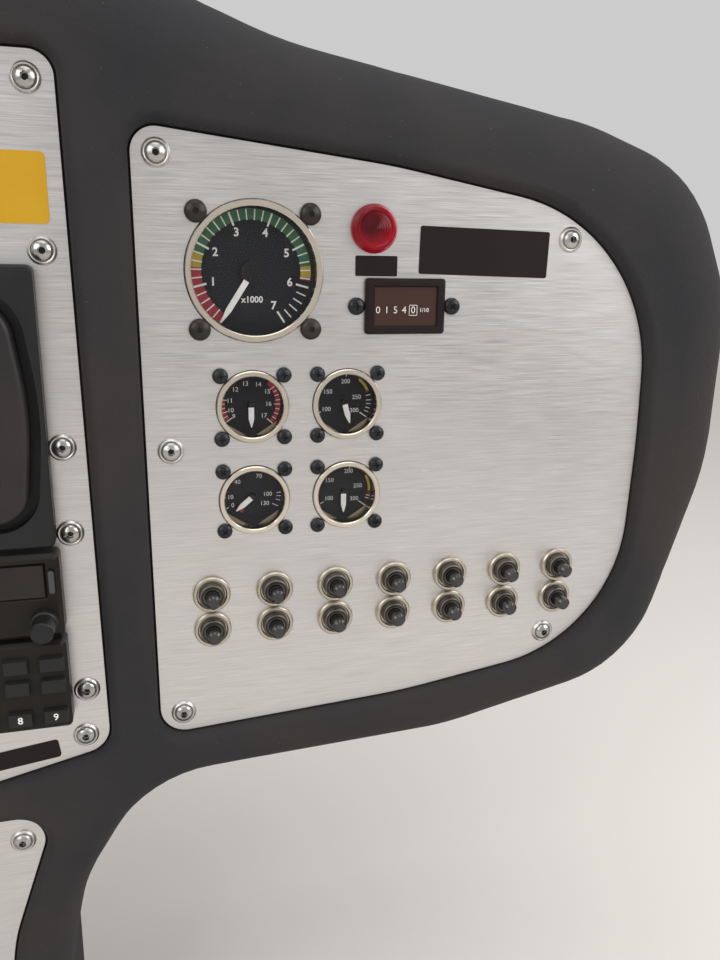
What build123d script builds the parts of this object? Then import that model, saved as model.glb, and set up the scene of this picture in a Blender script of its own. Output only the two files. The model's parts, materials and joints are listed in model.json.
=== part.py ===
from build123d import *
from math import radians, sin, cos
import os

# Instrument panel of a two-seat light sport aircraft: one black moulded pod on a
# central stem, with four aluminium plates screwed into shallow pockets in its face.
# Millimetres. X to the right as the seats see it, Y forward, Z up. The origin is the
# middle of the four bolt holes in the foot, on its underside.

# Panel pod, as one moulding
WALL = 4.0                 # thickness of the moulding everywhere
STEM_DEPTH = 110.0         # front to back at the foot
POD_DEPTH = 190.0          # front to back across the wide top
ROLL_DEPTH = 34.0          # the front edge turns over into the side within this depth
ROLL_SECTIONS = 6          # outlines that carry the roll from the face to the side
CREST = 5.0                # how far the face stands in front of the plates
RIM = 5.0                  # soft rounding round each pocket
POCKET_GAP = 1.0           # gap round a plate in its pocket
LEDGE = 13.0               # width of the ledge that a plate is screwed to
NOTCH_GAP = 1.0            # the ledge is cut away this far round the breakers
FLANGE = 18.0              # width of the bolting flange round the open back
FLANGE_END_X = 150.0       # the flange stops here on each side of the stem
FOOT_T = 5.0               # thickness of the foot
FOOT_HOLE_R = 3.3          # M6 bolts through the foot
FOOT_SPAN_X = 76.0
FOOT_SPAN_Y = 64.0
CABLE_HOLE_R = 19.0        # looms and hoses pass down through the foot
BACK_HOLE_R = 2.75         # M5 bolts through the back flange
BACK_SPAN_X = 480.0
BACK_SPAN_Z = 299.0
BACK_MID_Z = 394.0
STEM_CUT_Z = 120.0         # the back of the stem is straight up to here
STEM_CUT_TOP = 214.0       # and meets the pod's back here

# Face levels
PLATE_T = 2.5
FRONT_Y = -STEM_DEPTH / 2
PLATE_Y = FRONT_Y + CREST          # front face of every plate
SEAT_Y = PLATE_Y + PLATE_T         # back face of every plate
BACK_Y = FRONT_Y + POD_DEPTH

# Right half of the pod's outline, from the top middle down to the foot
POD_CORNERS = [            # X, Z, corner radius, width of the roll there
    (88.0, 598.0, 60.0, 34.0),
    (180.0, 565.0, 180.0, 35.0),
    (328.0, 539.6, 130.0, 37.0),
    (386.0, 520.2, 68.0, 38.0),
    (413.4, 458.5, 87.0, 38.0),
    (412.0, 373.0, 130.0, 34.0),
    (375.0, 256.5, 72.0, 27.0),
    (262.0, 233.2, 150.0, 23.0),
    (112.0, 227.0, 55.0, 20.0),
    (77.0, 172.0, 100.0, 18.0),
    (61.0, 95.0, 150.0, 18.0),
    (59.0, -95.0, 0.0, 18.0),      # the sides run on below the foot and are cut level
]
SIDE_CORNERS = [           # right plate, clockwise from its top left corner
    (117.4, 526.0, 10.0),
    (225.4, 514.0, 300.0),
    (353.1, 491.5, 85.0),
    (355.9, 390.0, 400.0),
    (352.7, 284.0, 75.0),
    (235.4, 265.8, 300.0),
    (117.4, 258.0, 12.0),
]
CENTRE_CORNERS = [         # right half of the centre plate
    (91.4, 549.0, 9.0),
    (94.0, 256.0, 12.0),
    (38.0, 243.0, 60.0),
]
STEM_CORNERS = [           # right half of the stem plate
    (66.4, 223.3, 12.0),
    (43.5, 157.0, 100.0),
    (29.0, 40.0, 12.0),
]

# Screws that hold the plates
SCREW_HOLE_R = 2.2
SIDE_SCREWS = [            # X, Z on the right plate
    (127.2, 515.2),
    (310.7, 485.9),
    (127.6, 394.6),
    (311.6, 290.3),
    (127.8, 268.4),
]
CENTRE_SCREWS = [          # X, Z on the right half of the centre plate
    (81.4, 539.2),
    (82.2, 477.3),
    (83.6, 398.2),
    (84.0, 360.6),
    (85.6, 285.9),
    (83.6, 263.0),
]
STEM_SCREWS = [            # X, Z on the right half of the stem plate
    (52.0, 211.6),
    (20.0, 50.0),
]

# Round instruments, all built in one way
TACH_X = 165.4
TACH_Z = 470.0
RING_PROUD = 1.5
RING_CHAMFER = 0.4
RING_LIP_T = 1.2
RING_BORE_STEP = 0.9       # the glass seats behind a lip this wide
SLEEVE_T = 0.6             # the ring's thin sleeve reaches back to the dial
GLASS_T = 1.2
DIAL_T = 0.8
DIAL_FLAT_TURN = 147.0     # the small dials' two lower flats face this far from up
FIT = 0.1                  # radial clearance of discs in their seats
CUT_FIT = 0.3              # radial clearance of cases in the plates
CASE_WALL = 1.5
LUG_T = 4.0
LUG_R = 5.5
PIN_R = 0.8
PIN_FIT = 0.05             # running clearance of a needle's pin
PIN_DEPTH = 5.0
PIN_FLOAT = 1.0            # the pin's hole is this much deeper than the pin
NEEDLE_T = 0.7
NEEDLE_TIP_R = 0.15        # half the width of a needle's point
HUB_T = 1.2
HUB_STEP = 0.2             # a large hub stands in front of its needle, a small one behind
NEEDLE_OFF_DIAL = 2.8      # from the front of a needle to the dial
POST_L = 9.0               # terminal studs and hose nipples on the backs of the cases

# ring radius, window radius, dial depth behind the plate's face, dial flats (0 for
# none), case depth, screw pitch, screw hole radius, rear post radius
SMALL = (15.83, 13.5, 8.5, 13.2, 42.0, 27.55, 1.6, 2.0)
MEDIUM = (29.09, 26.4, 11.0, 0.0, 62.0, 47.35, 2.2, 3.0)
LARGE = (39.9, 36.9, 5.4, 0.0, 86.0, 62.9, 2.4, 3.5)

# needle width, length of its straight part, reach, hub radius
SMALL_NEEDLE = (2.4, 6.6, 10.2, 1.0)
MEDIUM_NEEDLE = (2.5, 19.5, 25.6, 4.8)
LARGE_NEEDLE = (3.2, 27.0, 34.5, 6.8)

SMALL_GAUGES = [           # name, X, Z, needle angle clockwise from straight up
    ("voltmeter", 163.35, 412.8, 180.0),
    ("cylinder_temperature", 205.9, 412.8, 165.0),
    ("oil_pressure", 163.35, 370.5, 230.0),
    ("oil_temperature", 205.9, 370.5, 180.0),
]
MEDIUM_GAUGES = [
    ("tachometer", TACH_X, TACH_Z, -147.0),
    ("vertical_speed", -TACH_X, 384.0, -90.0),
]
LARGE_GAUGES = [
    ("airspeed", -188.0, 456.0, 0.0),
    ("altimeter", -274.0, 436.0, 0.0),
]

# Push-button circuit breakers, two rows under the gauges
BREAKER_COLUMNS = 7
BREAKER_X = 142.68
BREAKER_PITCH_X = 28.98
BREAKER_ROWS_Z = (326.97, 309.61)
BREAKER_WIDTH = 13.0
BREAKER_HEIGHT = 14.0
BREAKER_DEPTH = 32.0
BREAKER_TAB = (6.3, 0.8, 8.0)      # blade terminals: width, thickness, length
BREAKER_TAB_PITCH = 8.0
BUSH_R = 5.9
BUSH_PROUD = 4.8
BUSH_CHAMFER = 0.8
BUSH_MOUTH_R = 4.5                 # the bush is bored wider in front, round the button
BUSH_MOUTH_DEPTH = 3.0
BUSH_BORE_DEPTH = 10.0
NUT_R = 8.5
NUT_T = 2.0                        # height of the nut's raised rim
NUT_RIM_W = 1.5
NUT_RIM_STEP = 0.7                 # the nut's flat inside the rim lies this much lower
NUT_BEVEL = 0.5
BUTTON_R = 3.2
BUTTON_PROUD = 12.0
BUTTON_CHAMFER = 0.9

# Warning lamp beside the tachometer
LAMP_X = TACH_X + 51.5
LAMP_Z = TACH_Z + 18.5
LAMP_R = 10.25
LAMP_SKIRT_T = 1.2         # straight foot of the lens
LAMP_PROUD = 5.2
LAMP_FACE_R = 8.8          # the lens tapers to this radius
LAMP_EDGE = 0.9
LAMP_DISH_R = 6.6          # its middle is a shallow dish of fine rings
LAMP_DISH_DEPTH = 0.8
LAMP_RINGS = 6
LAMP_RING_RISE = 0.3
LAMP_BARREL_R = 7.5
LAMP_NUT_R = 10.0
LAMP_DEPTH = 30.0

# Hour meter below the lamp
HOUR_X = TACH_X + 66.2
HOUR_Z = TACH_Z - 14.07
HOUR_WIDTH = 36.8
HOUR_HEIGHT = 24.1
HOUR_CORNER_R = 1.5
HOUR_PROUD = 2.8
HOUR_BEVEL = 1.2
HOUR_WINDOW = (29.0, 17.0)
HOUR_WINDOW_BEVEL = 0.5
HOUR_WINDOW_DEPTH = 1.6
HOUR_COUNTER_T = 0.6
HOUR_SCREW_SPAN = 44.3
HOUR_EAR_R = 4.6
HOUR_BODY = (31.0, 19.0, 40.0)

# Portable navigator in its dock
DOCK_WIDTH = 157.0
DOCK_HEIGHT = 115.0
DOCK_TOP_Z = 472.0
DOCK_CORNER_R = 3.0
DOCK_PROUD = 8.0
DOCK_CHAMFER = 1.0
DOCK_FLOOR = 2.0
DOCK_TUB = (120.0, 84.0, 30.0)
NAVIGATOR_GROOVE = 4.4             # gap between the unit and the tray's recess
NAVIGATOR_CORNERS = [              # right half, X, Z from the dock's middle, radius
    (67.5, 44.5, 15.0),
    (73.4, -0.5, 150.0),
    (68.5, -45.5, 13.0),
]
NAVIGATOR_T = 9.5
NAVIGATOR_EDGE_R = 2.5
SCREEN_WIDTH = 86.0
SCREEN_HEIGHT = 58.0
SCREEN_RECESS = 0.8
SCREEN_T = 1.0
SCREEN_X = -12.0
BUTTON_GROOVE = (0.8, 0.7)         # groove round a button of the unit: width, depth
NAVIGATOR_BUTTONS = [              # X, Z from the dock's middle, radius
    (50.0, -1.9, 12.5),
    (54.0, -27.0, 6.3),
    (54.0, 23.2, 6.3),
]

# Radio and transponder below the dock, a standard 6.25 inches wide
STACK_GAP = 2.0
AVIONICS_WIDTH = 158.75
AVIONICS_PROUD = 10.0
AVIONICS_CHAMFER = 1.8
AVIONICS_CORNER_R = 2.5
AVIONICS_BODY_WIDTH = 146.0
AVIONICS_BODY_DEPTH = 140.0
AVIONICS_BODY_INSET = 2.0
RADIO_HEIGHT = 37.5
TRANSPONDER_HEIGHT = 42.0
DISPLAY_BEVEL = 1.0
DISPLAY_RECESS = 1.2
RADIO_DISPLAY = (1.0, 7.0, 144.0, 14.6)       # X, Z from the unit's middle, size
TRANSPONDER_DISPLAY = (0.0, 5.5, 88.0, 19.0)
PAD_PROUD = 0.8
RADIO_PADS = [                     # X, Z from the unit's middle, width, height
    (76.0, 7.0, 2.5, 10.5),
    (-40.0, -10.0, 9.0, 5.5),
    (-20.0, -10.0, 9.0, 5.5),
    (0.0, -10.0, 9.0, 5.5),
    (20.0, -10.0, 9.0, 5.5),
    (40.0, -10.0, 9.0, 5.5),
]
KNOB_SKIRT_R = 5.6
KNOB_SKIRT_T = 4.0
KNOB_R = 4.7
KNOB_T = 13.0
KNOB_CHAMFER = 0.7
RADIO_KNOBS_X = (-71.8, 71.8)
RADIO_KNOB_DROP = 11.0             # the knobs sit this far below the unit's middle
KEY_SIZE = (10.4, 6.9)
KEY_DRAFT = 0.5
KEY_T = 2.2
KEY_PITCH_X = 14.6
KEY_COLUMNS = 11
KEY_ROWS_Z = (11.0, 0.8, -14.0)    # from the transponder's middle
SIDE_KEY_COLUMNS = 2               # the upper rows have keys at both ends only

# Switches on the left plate
TOGGLE_COUNT = 6
TOGGLE_X = -312.0
TOGGLE_PITCH = 27.0
TOGGLE_Z = 328.0
TOGGLE_BODY = (13.0, 26.0, 28.0)
TOGGLE_BUSH_R = 5.9
TOGGLE_NUT_R = 8.0
TOGGLE_NUT_T = 2.6
TOGGLE_BUSH_PROUD = 9.0
TOGGLE_LEVER_R = 2.2
TOGGLE_TIP_R = 3.1
TOGGLE_TIP_FLAT_R = 1.9
TOGGLE_LEVER_L = 17.0
TOGGLE_TILT = -14.0
KEY_SWITCH_X = -143.0
KEY_SWITCH_R = 11.5
KEY_SWITCH_PROUD = 6.0
KEY_SWITCH_BEVEL = 2.0
KEY_SWITCH_SLOT = (1.9, 8.6, 3.5)
KEY_SWITCH_BARREL_R = 9.3
KEY_SWITCH_DEPTH = 42.0

# Pull knobs on the stem plate
PULL_KNOBS_Z = (172.0, 132.0)
PULL_SHAFT_R = 3.0
PULL_SHAFT_PROUD = 11.0
PULL_NECK_R = 6.0
PULL_KNOB_R = 10.0
PULL_BULGE_T = 4.0                 # the knob is widest this far out from its neck
PULL_FACE_R = 8.0
PULL_KNOB_T = 10.0
PULL_BUSH_R = 7.0
PULL_BUSH_PROUD = 3.0
PULL_DEPTH = 34.0


def between(sketch, y_front, y_back):
    """Solid with the sketch as its X and Z outline, between two depths."""
    return extrude(Plane.XZ.offset(-y_back) * sketch, amount=y_back - y_front)


def tapering(front, y_front, back, y_back):
    """Solid that runs from one outline to another, for drafted keys and bevels."""
    return loft([Plane.XZ.offset(-y_front) * front, Plane.XZ.offset(-y_back) * back])


def disc(x, z, r, y_front, y_back):
    return between(Pos(x, z) * Circle(r), y_front, y_back)


def block(x, z, width, height, y_front, y_back):
    return between(Pos(x, z) * Rectangle(width, height), y_front, y_back)


def turned(profile):
    """Ring or knob turned about the Y axis; the profile lists radius and depth."""
    return revolve(make_face(Polyline(*profile, close=True)), Axis.Y)


def placed(piece, places):
    """Copies of a piece that is modelled at X 0 and Z 0."""
    return [Pos(x, 0, z) * piece for x, z in places]


def front_edges(solid):
    """Outer edges of the solid's front face."""
    return solid.faces().sort_by(Axis.Y)[0].outer_wire().edges()


def mirrored(corners):
    """Whole outline from its right half, both ends of which lie on the middle."""
    left = [(-x, *rest) for x, *rest in reversed(corners)]
    return corners + left


def flipped(corners):
    return [(-x, z, r) for x, z, r in reversed(corners)]


def flat(corners):
    """Face from a table of rounded corners, drawn with X across and Z up."""
    points = [(x, z) for x, z, r in corners]
    radii = [r for x, z, r in corners]
    return make_face(FilletPolyline(*points, radius=radii, close=True))


def plate_outlines():
    """The four plates' outlines, by name."""
    return {
        "right": flat(SIDE_CORNERS),
        "left": flat(flipped(SIDE_CORNERS)),
        "centre": flat(mirrored(CENTRE_CORNERS)),
        "stem": flat(mirrored(STEM_CORNERS)),
    }


def drawn_in(corners, distances):
    """Clockwise outline drawn inwards by its own distance at each corner.

    A corner that bulges outwards loses as much radius as it moves; a hollow gains it.
    """
    moved = []
    for i, (x, z, r, roll) in enumerate(corners):
        last_x, last_z = corners[i - 1][:2]
        next_x, next_z = corners[(i + 1) % len(corners)][:2]
        inward = Vector(z - last_z, last_x - x).normalized()
        onward = Vector(next_z - z, x - next_x).normalized()
        shift = (inward + onward) * (distances[i] / (1 + inward.dot(onward)))
        hollow = inward.cross(onward).Z > 0
        change = distances[i] if hollow else -distances[i]
        moved.append((x + shift.X, z + shift.Y, r + change if r else 0))
    return moved


def pod_form(skin):
    """The pod as one closed form, its surface lying a skin's thickness inside.

    The outlines between the face and the side follow a quarter of an ellipse, so the
    front edge rolls over smoothly, wide along the top and narrow underneath.
    """
    corners = mirrored(POD_CORNERS)
    face = drawn_in(corners, [roll for x, z, r, roll in corners])
    side = drawn_in(corners, [skin] * len(corners))
    sections = []
    for step in range(ROLL_SECTIONS):
        turn = radians(90) * step / (ROLL_SECTIONS - 1)
        outline = flat([
            tuple(a + (b - a) * sin(turn) for a, b in zip(front, back))
            for front, back in zip(face, side)
        ])
        y = FRONT_Y + skin + (ROLL_DEPTH - skin) * (1 - cos(turn))
        sections.append(Plane.XZ.offset(-y) * outline)
    return loft(sections) + between(flat(side), FRONT_Y + ROLL_DEPTH, BACK_Y - skin)


def above(solid, z):
    return split(solid, bisect_by=Plane.XY.offset(z), keep=Keep.TOP)


def pod_cavity(plates):
    """The space inside the moulding, with the pockets' floors standing into it."""
    corners = mirrored(POD_CORNERS)
    inside = flat(drawn_in(corners, [WALL] * len(corners)))
    way_in = flat(drawn_in(corners, [FLANGE] * len(corners)))
    way_in += Pos(0, STEM_CUT_TOP) * Rectangle(2 * FLANGE_END_X, 4 * FLANGE) & inside
    space = pod_form(WALL) + between(way_in, BACK_Y - 2 * WALL, BACK_Y)
    for plate in plates.values():
        boss = offset(plate, POCKET_GAP + WALL)
        space -= between(boss, FRONT_Y, SEAT_Y + WALL)
    return above(space, FOOT_T)


def breaker_notch():
    """What the ledge gives up behind the two rows of breakers."""
    width = (BREAKER_COLUMNS - 1) * BREAKER_PITCH_X
    top_z, bottom_z = BREAKER_ROWS_Z
    way = Pos(BREAKER_X + width / 2, (top_z + bottom_z) / 2) * Rectangle(
        width + BREAKER_WIDTH + 2 * NOTCH_GAP,
        top_z - bottom_z + BREAKER_HEIGHT + 2 * NOTCH_GAP,
    )
    return between(way, SEAT_Y, SEAT_Y + 2 * WALL)


def stem_cut():
    """What is cut away behind the stem, straight up and then out to the pod's back."""
    outline = Polyline(
        (STEM_DEPTH / 2, -WALL),
        (STEM_DEPTH / 2, STEM_CUT_Z),
        (BACK_Y + WALL, STEM_CUT_TOP),
        (BACK_Y + WALL, -WALL),
        close=True,
    )
    return extrude(Plane.YZ * make_face(outline), amount=POD_DEPTH, both=True)


def dash_shell(plates):
    """The moulded housing: pockets with ledges for the plates, a flanged open back."""
    shell = above(pod_form(0), 0)
    for plate in plates.values():
        shell -= between(offset(plate, POCKET_GAP), FRONT_Y, SEAT_Y)
    face = shell.faces().sort_by(Axis.Y)[0]
    shell = fillet([edge for wire in face.inner_wires() for edge in wire.edges()], RIM)
    shell -= pod_cavity(plates)
    for plate in plates.values():
        shell -= between(offset(plate, -LEDGE), FRONT_Y, SEAT_Y + 2 * WALL)
    shell -= breaker_notch()
    shell -= stem_cut()
    for hole in GridLocations(FOOT_SPAN_X, FOOT_SPAN_Y, 2, 2):
        shell -= hole * Cylinder(FOOT_HOLE_R, 4 * FOOT_T)
    shell -= Cylinder(CABLE_HOLE_R, 4 * FOOT_T)
    for hole in GridLocations(BACK_SPAN_X, BACK_SPAN_Z, 2, 2):
        bolt = Pos(0, BACK_MID_Z) * hole * Circle(BACK_HOLE_R)
        shell -= between(bolt, BACK_Y - 2 * WALL, BACK_Y)
    return shell


def plate(outline, screws, cuts):
    """Aluminium plate with its screw holes and the cut-outs of what it carries."""
    sketch = outline
    for x, z in screws:
        sketch -= Pos(x, z) * Circle(SCREW_HOLE_R)
    for cut in cuts:
        sketch -= cut
    return between(sketch, PLATE_Y, SEAT_Y)


def gauge_cuts(gauges, kind):
    ring_r, window_r, dial_y, flats, case_depth, pitch, hole_r, post_r = kind
    cuts = []
    for name, x, z, angle in gauges:
        cuts.append(Pos(x, z) * Circle(ring_r + CUT_FIT))
        for hole in GridLocations(pitch, pitch, 2, 2):
            cuts.append(Pos(x, z) * hole * Circle(hole_r))
    return cuts


def gauge_case(kind):
    """Closed case with four screw lugs behind the plate and a shallow cup in front."""
    ring_r, window_r, dial_y, flats, case_depth, pitch, hole_r, post_r = kind
    cup_r = window_r + RING_BORE_STEP + SLEEVE_T + FIT
    cup_y = PLATE_Y + dial_y + DIAL_T
    flange = RectangleRounded(pitch + 2 * LUG_R, pitch + 2 * LUG_R, LUG_R)
    case = between(flange, SEAT_Y, SEAT_Y + LUG_T)
    case += disc(0, 0, cup_r + CASE_WALL, SEAT_Y, SEAT_Y + case_depth)
    for side in (-1, 1):
        back = SEAT_Y + case_depth
        case += disc(side * pitch / 4, 0, post_r, back, back + POST_L)
    case -= disc(0, 0, cup_r, SEAT_Y, cup_y)
    case -= disc(0, 0, PIN_R + PIN_FIT, cup_y, cup_y + PIN_DEPTH + PIN_FLOAT)
    for hole in GridLocations(pitch, pitch, 2, 2):
        case -= between(hole * Circle(hole_r), SEAT_Y, SEAT_Y + LUG_T)
    return case


def gauge_ring(kind):
    """Bezel with a flat face, a seat for the glass and a sleeve back to the dial."""
    ring_r, window_r, dial_y = kind[:3]
    bore_r = window_r + RING_BORE_STEP
    front = PLATE_Y - RING_PROUD
    return turned([
        (window_r, front + RING_CHAMFER),
        (window_r + RING_CHAMFER, front),
        (ring_r - RING_CHAMFER, front),
        (ring_r, front + RING_CHAMFER),
        (ring_r, SEAT_Y),
        (bore_r + SLEEVE_T, SEAT_Y),
        (bore_r + SLEEVE_T, PLATE_Y + dial_y),
        (bore_r, PLATE_Y + dial_y),
        (bore_r, front + RING_LIP_T),
        (window_r, front + RING_LIP_T),
    ])


def gauge_glass(kind):
    front = PLATE_Y - RING_PROUD + RING_LIP_T
    return disc(0, 0, kind[1] + RING_BORE_STEP - FIT, front, front + GLASS_T)


def gauge_dial(kind):
    """Dial behind the ring's sleeve, bored for the pin; small ones have two flats."""
    ring_r, window_r, dial_y, flats = kind[:4]
    r = window_r + RING_BORE_STEP + SLEEVE_T
    dial = Circle(r) - Circle(2 * PIN_R)
    for turn in (-DIAL_FLAT_TURN, DIAL_FLAT_TURN):
        if flats:
            dial -= Rot(0, 0, turn) * Pos(0, flats + r) * Rectangle(2 * r, 2 * r)
    return between(dial, PLATE_Y + dial_y, PLATE_Y + dial_y + DIAL_T)


def gauge_needle(angle, kind, needle):
    """Pointer on a hub, with the pin that turns in the case."""
    width, straight, reach, hub_r = needle
    dial_y = kind[2]
    front = PLATE_Y + dial_y - NEEDLE_OFF_DIAL
    blade = make_face(Polyline(
        (-width / 2, 0),
        (-width / 2, straight),
        (-NEEDLE_TIP_R, reach),
        (NEEDLE_TIP_R, reach),
        (width / 2, straight),
        (width / 2, 0),
        close=True,
    ))
    pointer = between(Rot(0, 0, -angle) * blade, front, front + NEEDLE_T)
    hub_front = front - HUB_STEP if hub_r > width else front + HUB_STEP
    pointer += disc(0, 0, hub_r, hub_front, hub_front + HUB_T)
    pin_end = PLATE_Y + dial_y + DIAL_T + PIN_DEPTH
    return pointer + disc(0, 0, PIN_R, front + HUB_STEP, pin_end)


def breaker_places():
    return [
        (BREAKER_X + column * BREAKER_PITCH_X, z)
        for z in BREAKER_ROWS_Z
        for column in range(BREAKER_COLUMNS)
    ]


def breaker_body():
    """Case with its threaded bush in front and two blade terminals behind."""
    back = SEAT_Y + BREAKER_DEPTH
    body = block(0, 0, BREAKER_WIDTH, BREAKER_HEIGHT, SEAT_Y, back)
    tab_width, tab_t, tab_l = BREAKER_TAB
    for side in (-1, 1):
        z = side * BREAKER_TAB_PITCH / 2
        body += block(0, z, tab_width, tab_t, back, back + tab_l)
    front = PLATE_Y - BUSH_PROUD
    body += turned([
        (BUTTON_R + FIT, front + BUSH_MOUTH_DEPTH),
        (BUSH_MOUTH_R, front + BUSH_MOUTH_DEPTH),
        (BUSH_MOUTH_R, front),
        (BUSH_R - BUSH_CHAMFER, front),
        (BUSH_R, front + BUSH_CHAMFER),
        (BUSH_R, SEAT_Y),
        (BUTTON_R + FIT, SEAT_Y),
    ])
    return body - disc(0, 0, BUTTON_R + FIT, SEAT_Y, SEAT_Y + BUSH_BORE_DEPTH)


def breaker_nut():
    """Low ring nut with a raised rim round its flat."""
    bore = BUSH_R + FIT
    front = PLATE_Y - NUT_T
    return turned([
        (bore, front + NUT_RIM_STEP),
        (NUT_R - NUT_RIM_W - NUT_BEVEL, front + NUT_RIM_STEP),
        (NUT_R - NUT_RIM_W, front),
        (NUT_R - NUT_BEVEL, front),
        (NUT_R, front + NUT_BEVEL),
        (NUT_R, PLATE_Y),
        (bore, PLATE_Y),
    ])


def breaker_button():
    tip = PLATE_Y - BUTTON_PROUD
    return turned([
        (0, tip),
        (BUTTON_R - BUTTON_CHAMFER, tip),
        (BUTTON_R, tip + BUTTON_CHAMFER),
        (BUTTON_R, SEAT_Y + BUSH_BORE_DEPTH),
        (0, SEAT_Y + BUSH_BORE_DEPTH),
    ])


def lamp_body():
    body = disc(0, 0, LAMP_BARREL_R, PLATE_Y, SEAT_Y + LAMP_DEPTH)
    return body + disc(0, 0, LAMP_NUT_R, SEAT_Y, SEAT_Y + LUG_T)


def lamp_lens():
    """Tapered lens whose dished middle is cut into fine rings, each with a slope."""
    top = PLATE_Y - LAMP_PROUD
    floor = top + LAMP_DISH_DEPTH
    step = LAMP_DISH_R / LAMP_RINGS
    profile = [
        (0, PLATE_Y),
        (LAMP_R, PLATE_Y),
        (LAMP_R, PLATE_Y - LAMP_SKIRT_T),
        (LAMP_FACE_R, top + LAMP_EDGE),
        (LAMP_FACE_R - LAMP_EDGE, top),
        (LAMP_DISH_R + LAMP_DISH_DEPTH, top),
    ]
    for ring in range(LAMP_RINGS):
        r = LAMP_DISH_R - ring * step
        profile.append((r, floor))
        profile.append((r - step, floor - LAMP_RING_RISE))
    return turned(profile)


def hour_meter_case():
    """Bevelled face in front of the plate, body through it and two ears behind it."""
    front = PLATE_Y - HOUR_PROUD
    outline = RectangleRounded(HOUR_WIDTH, HOUR_HEIGHT, HOUR_CORNER_R)
    case = between(outline, front, PLATE_Y)
    case = chamfer(front_edges(case), HOUR_BEVEL)
    width, height, depth = HOUR_BODY
    case += block(0, 0, width, height, PLATE_Y, SEAT_Y + depth)
    ears = SlotCenterToCenter(HOUR_SCREW_SPAN, 2 * HOUR_EAR_R)
    for side in (-1, 1):
        ears -= Pos(side * HOUR_SCREW_SPAN / 2, 0) * Circle(SCREW_HOLE_R)
    case += between(ears, SEAT_Y, SEAT_Y + LUG_T)
    width, height = HOUR_WINDOW
    bevel = 2 * HOUR_WINDOW_BEVEL
    mouth = Rectangle(width + bevel, height + bevel)
    case -= tapering(mouth, front, Rectangle(width, height), front + HOUR_WINDOW_BEVEL)
    return case - block(0, 0, width, height, front, front + HOUR_WINDOW_DEPTH)


def hour_meter_counter():
    """Printed face with the number drums, seen as one flat plate in the window."""
    width, height = HOUR_WINDOW
    back = PLATE_Y - HOUR_PROUD + HOUR_WINDOW_DEPTH
    return block(0, 0, width - 2 * FIT, height - 2 * FIT, back - HOUR_COUNTER_T, back)


def dock_z():
    return DOCK_TOP_Z - DOCK_HEIGHT / 2


def radio_z():
    return DOCK_TOP_Z - DOCK_HEIGHT - STACK_GAP - RADIO_HEIGHT / 2


def transponder_z():
    return radio_z() - RADIO_HEIGHT / 2 - STACK_GAP - TRANSPONDER_HEIGHT / 2


def navigator_dock():
    """Tray on the plate's face, recessed for the portable unit, with a tub behind."""
    front = PLATE_Y - DOCK_PROUD
    tray = RectangleRounded(DOCK_WIDTH, DOCK_HEIGHT, DOCK_CORNER_R)
    dock = between(tray, front, PLATE_Y)
    dock = chamfer(front_edges(dock), DOCK_CHAMFER)
    width, height, depth = DOCK_TUB
    dock += block(0, 0, width, height, PLATE_Y, SEAT_Y + depth)
    recess = offset(flat(mirrored(NAVIGATOR_CORNERS)), NAVIGATOR_GROOVE)
    return dock - between(recess, front, PLATE_Y - DOCK_FLOOR)


def navigator():
    """Portable unit with a sunk screen and round buttons, each in a fine groove."""
    back = PLATE_Y - DOCK_FLOOR
    front = back - NAVIGATOR_T
    unit = between(flat(mirrored(NAVIGATOR_CORNERS)), front, back)
    unit = fillet(front_edges(unit), NAVIGATOR_EDGE_R)
    groove, depth = BUTTON_GROOVE
    for x, z, r in NAVIGATOR_BUTTONS:
        ring = Pos(x, z) * (Circle(r) - Circle(r - groove))
        unit -= between(ring, front, front + depth)
    back = front + SCREEN_RECESS + SCREEN_T
    return unit - block(SCREEN_X, 0, SCREEN_WIDTH, SCREEN_HEIGHT, front, back)


def navigator_screen():
    front = PLATE_Y - DOCK_FLOOR - NAVIGATOR_T + SCREEN_RECESS
    width = SCREEN_WIDTH - 2 * FIT
    height = SCREEN_HEIGHT - 2 * FIT
    return block(SCREEN_X, 0, width, height, front, front + SCREEN_T)


def avionics_unit(height, display, pads):
    """Panel-mounted radio: bevelled face with a sunk display, box body behind."""
    front = PLATE_Y - AVIONICS_PROUD
    face = RectangleRounded(AVIONICS_WIDTH, height, AVIONICS_CORNER_R)
    unit = between(face, front, PLATE_Y)
    unit = chamfer(front_edges(unit), AVIONICS_CHAMFER)
    body_height = height - 2 * AVIONICS_BODY_INSET
    unit += block(0, 0, AVIONICS_BODY_WIDTH, body_height, PLATE_Y, SEAT_Y + AVIONICS_BODY_DEPTH)
    for x, z, width, pad_height in pads:
        unit += block(x, z, width, pad_height, front - PAD_PROUD, front)
    x, z, width, display_height = display
    mouth = Rectangle(width + 2 * DISPLAY_BEVEL, display_height + 2 * DISPLAY_BEVEL)
    floor = Rectangle(width, display_height)
    return unit - tapering(
        Pos(x, z) * mouth, front, Pos(x, z) * floor, front + DISPLAY_RECESS
    )


def knob():
    """Round knob with a wider skirt."""
    base = PLATE_Y - AVIONICS_PROUD
    return turned([
        (0, base),
        (KNOB_SKIRT_R, base),
        (KNOB_SKIRT_R, base - KNOB_SKIRT_T + KNOB_CHAMFER),
        (KNOB_SKIRT_R - KNOB_CHAMFER, base - KNOB_SKIRT_T),
        (KNOB_R, base - KNOB_SKIRT_T),
        (KNOB_R, base - KNOB_T + KNOB_CHAMFER),
        (KNOB_R - KNOB_CHAMFER, base - KNOB_T),
        (0, base - KNOB_T),
    ])


def key_places():
    """Two short upper rows of keys at each end, and one row right across below."""
    middle = (KEY_COLUMNS - 1) / 2
    places = []
    for row_z in KEY_ROWS_Z:
        for column in range(KEY_COLUMNS):
            at_end = abs(column - middle) > middle - SIDE_KEY_COLUMNS
            if at_end or row_z == KEY_ROWS_Z[-1]:
                x = (column - middle) * KEY_PITCH_X
                places.append((x, transponder_z() + row_z))
    return places


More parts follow.
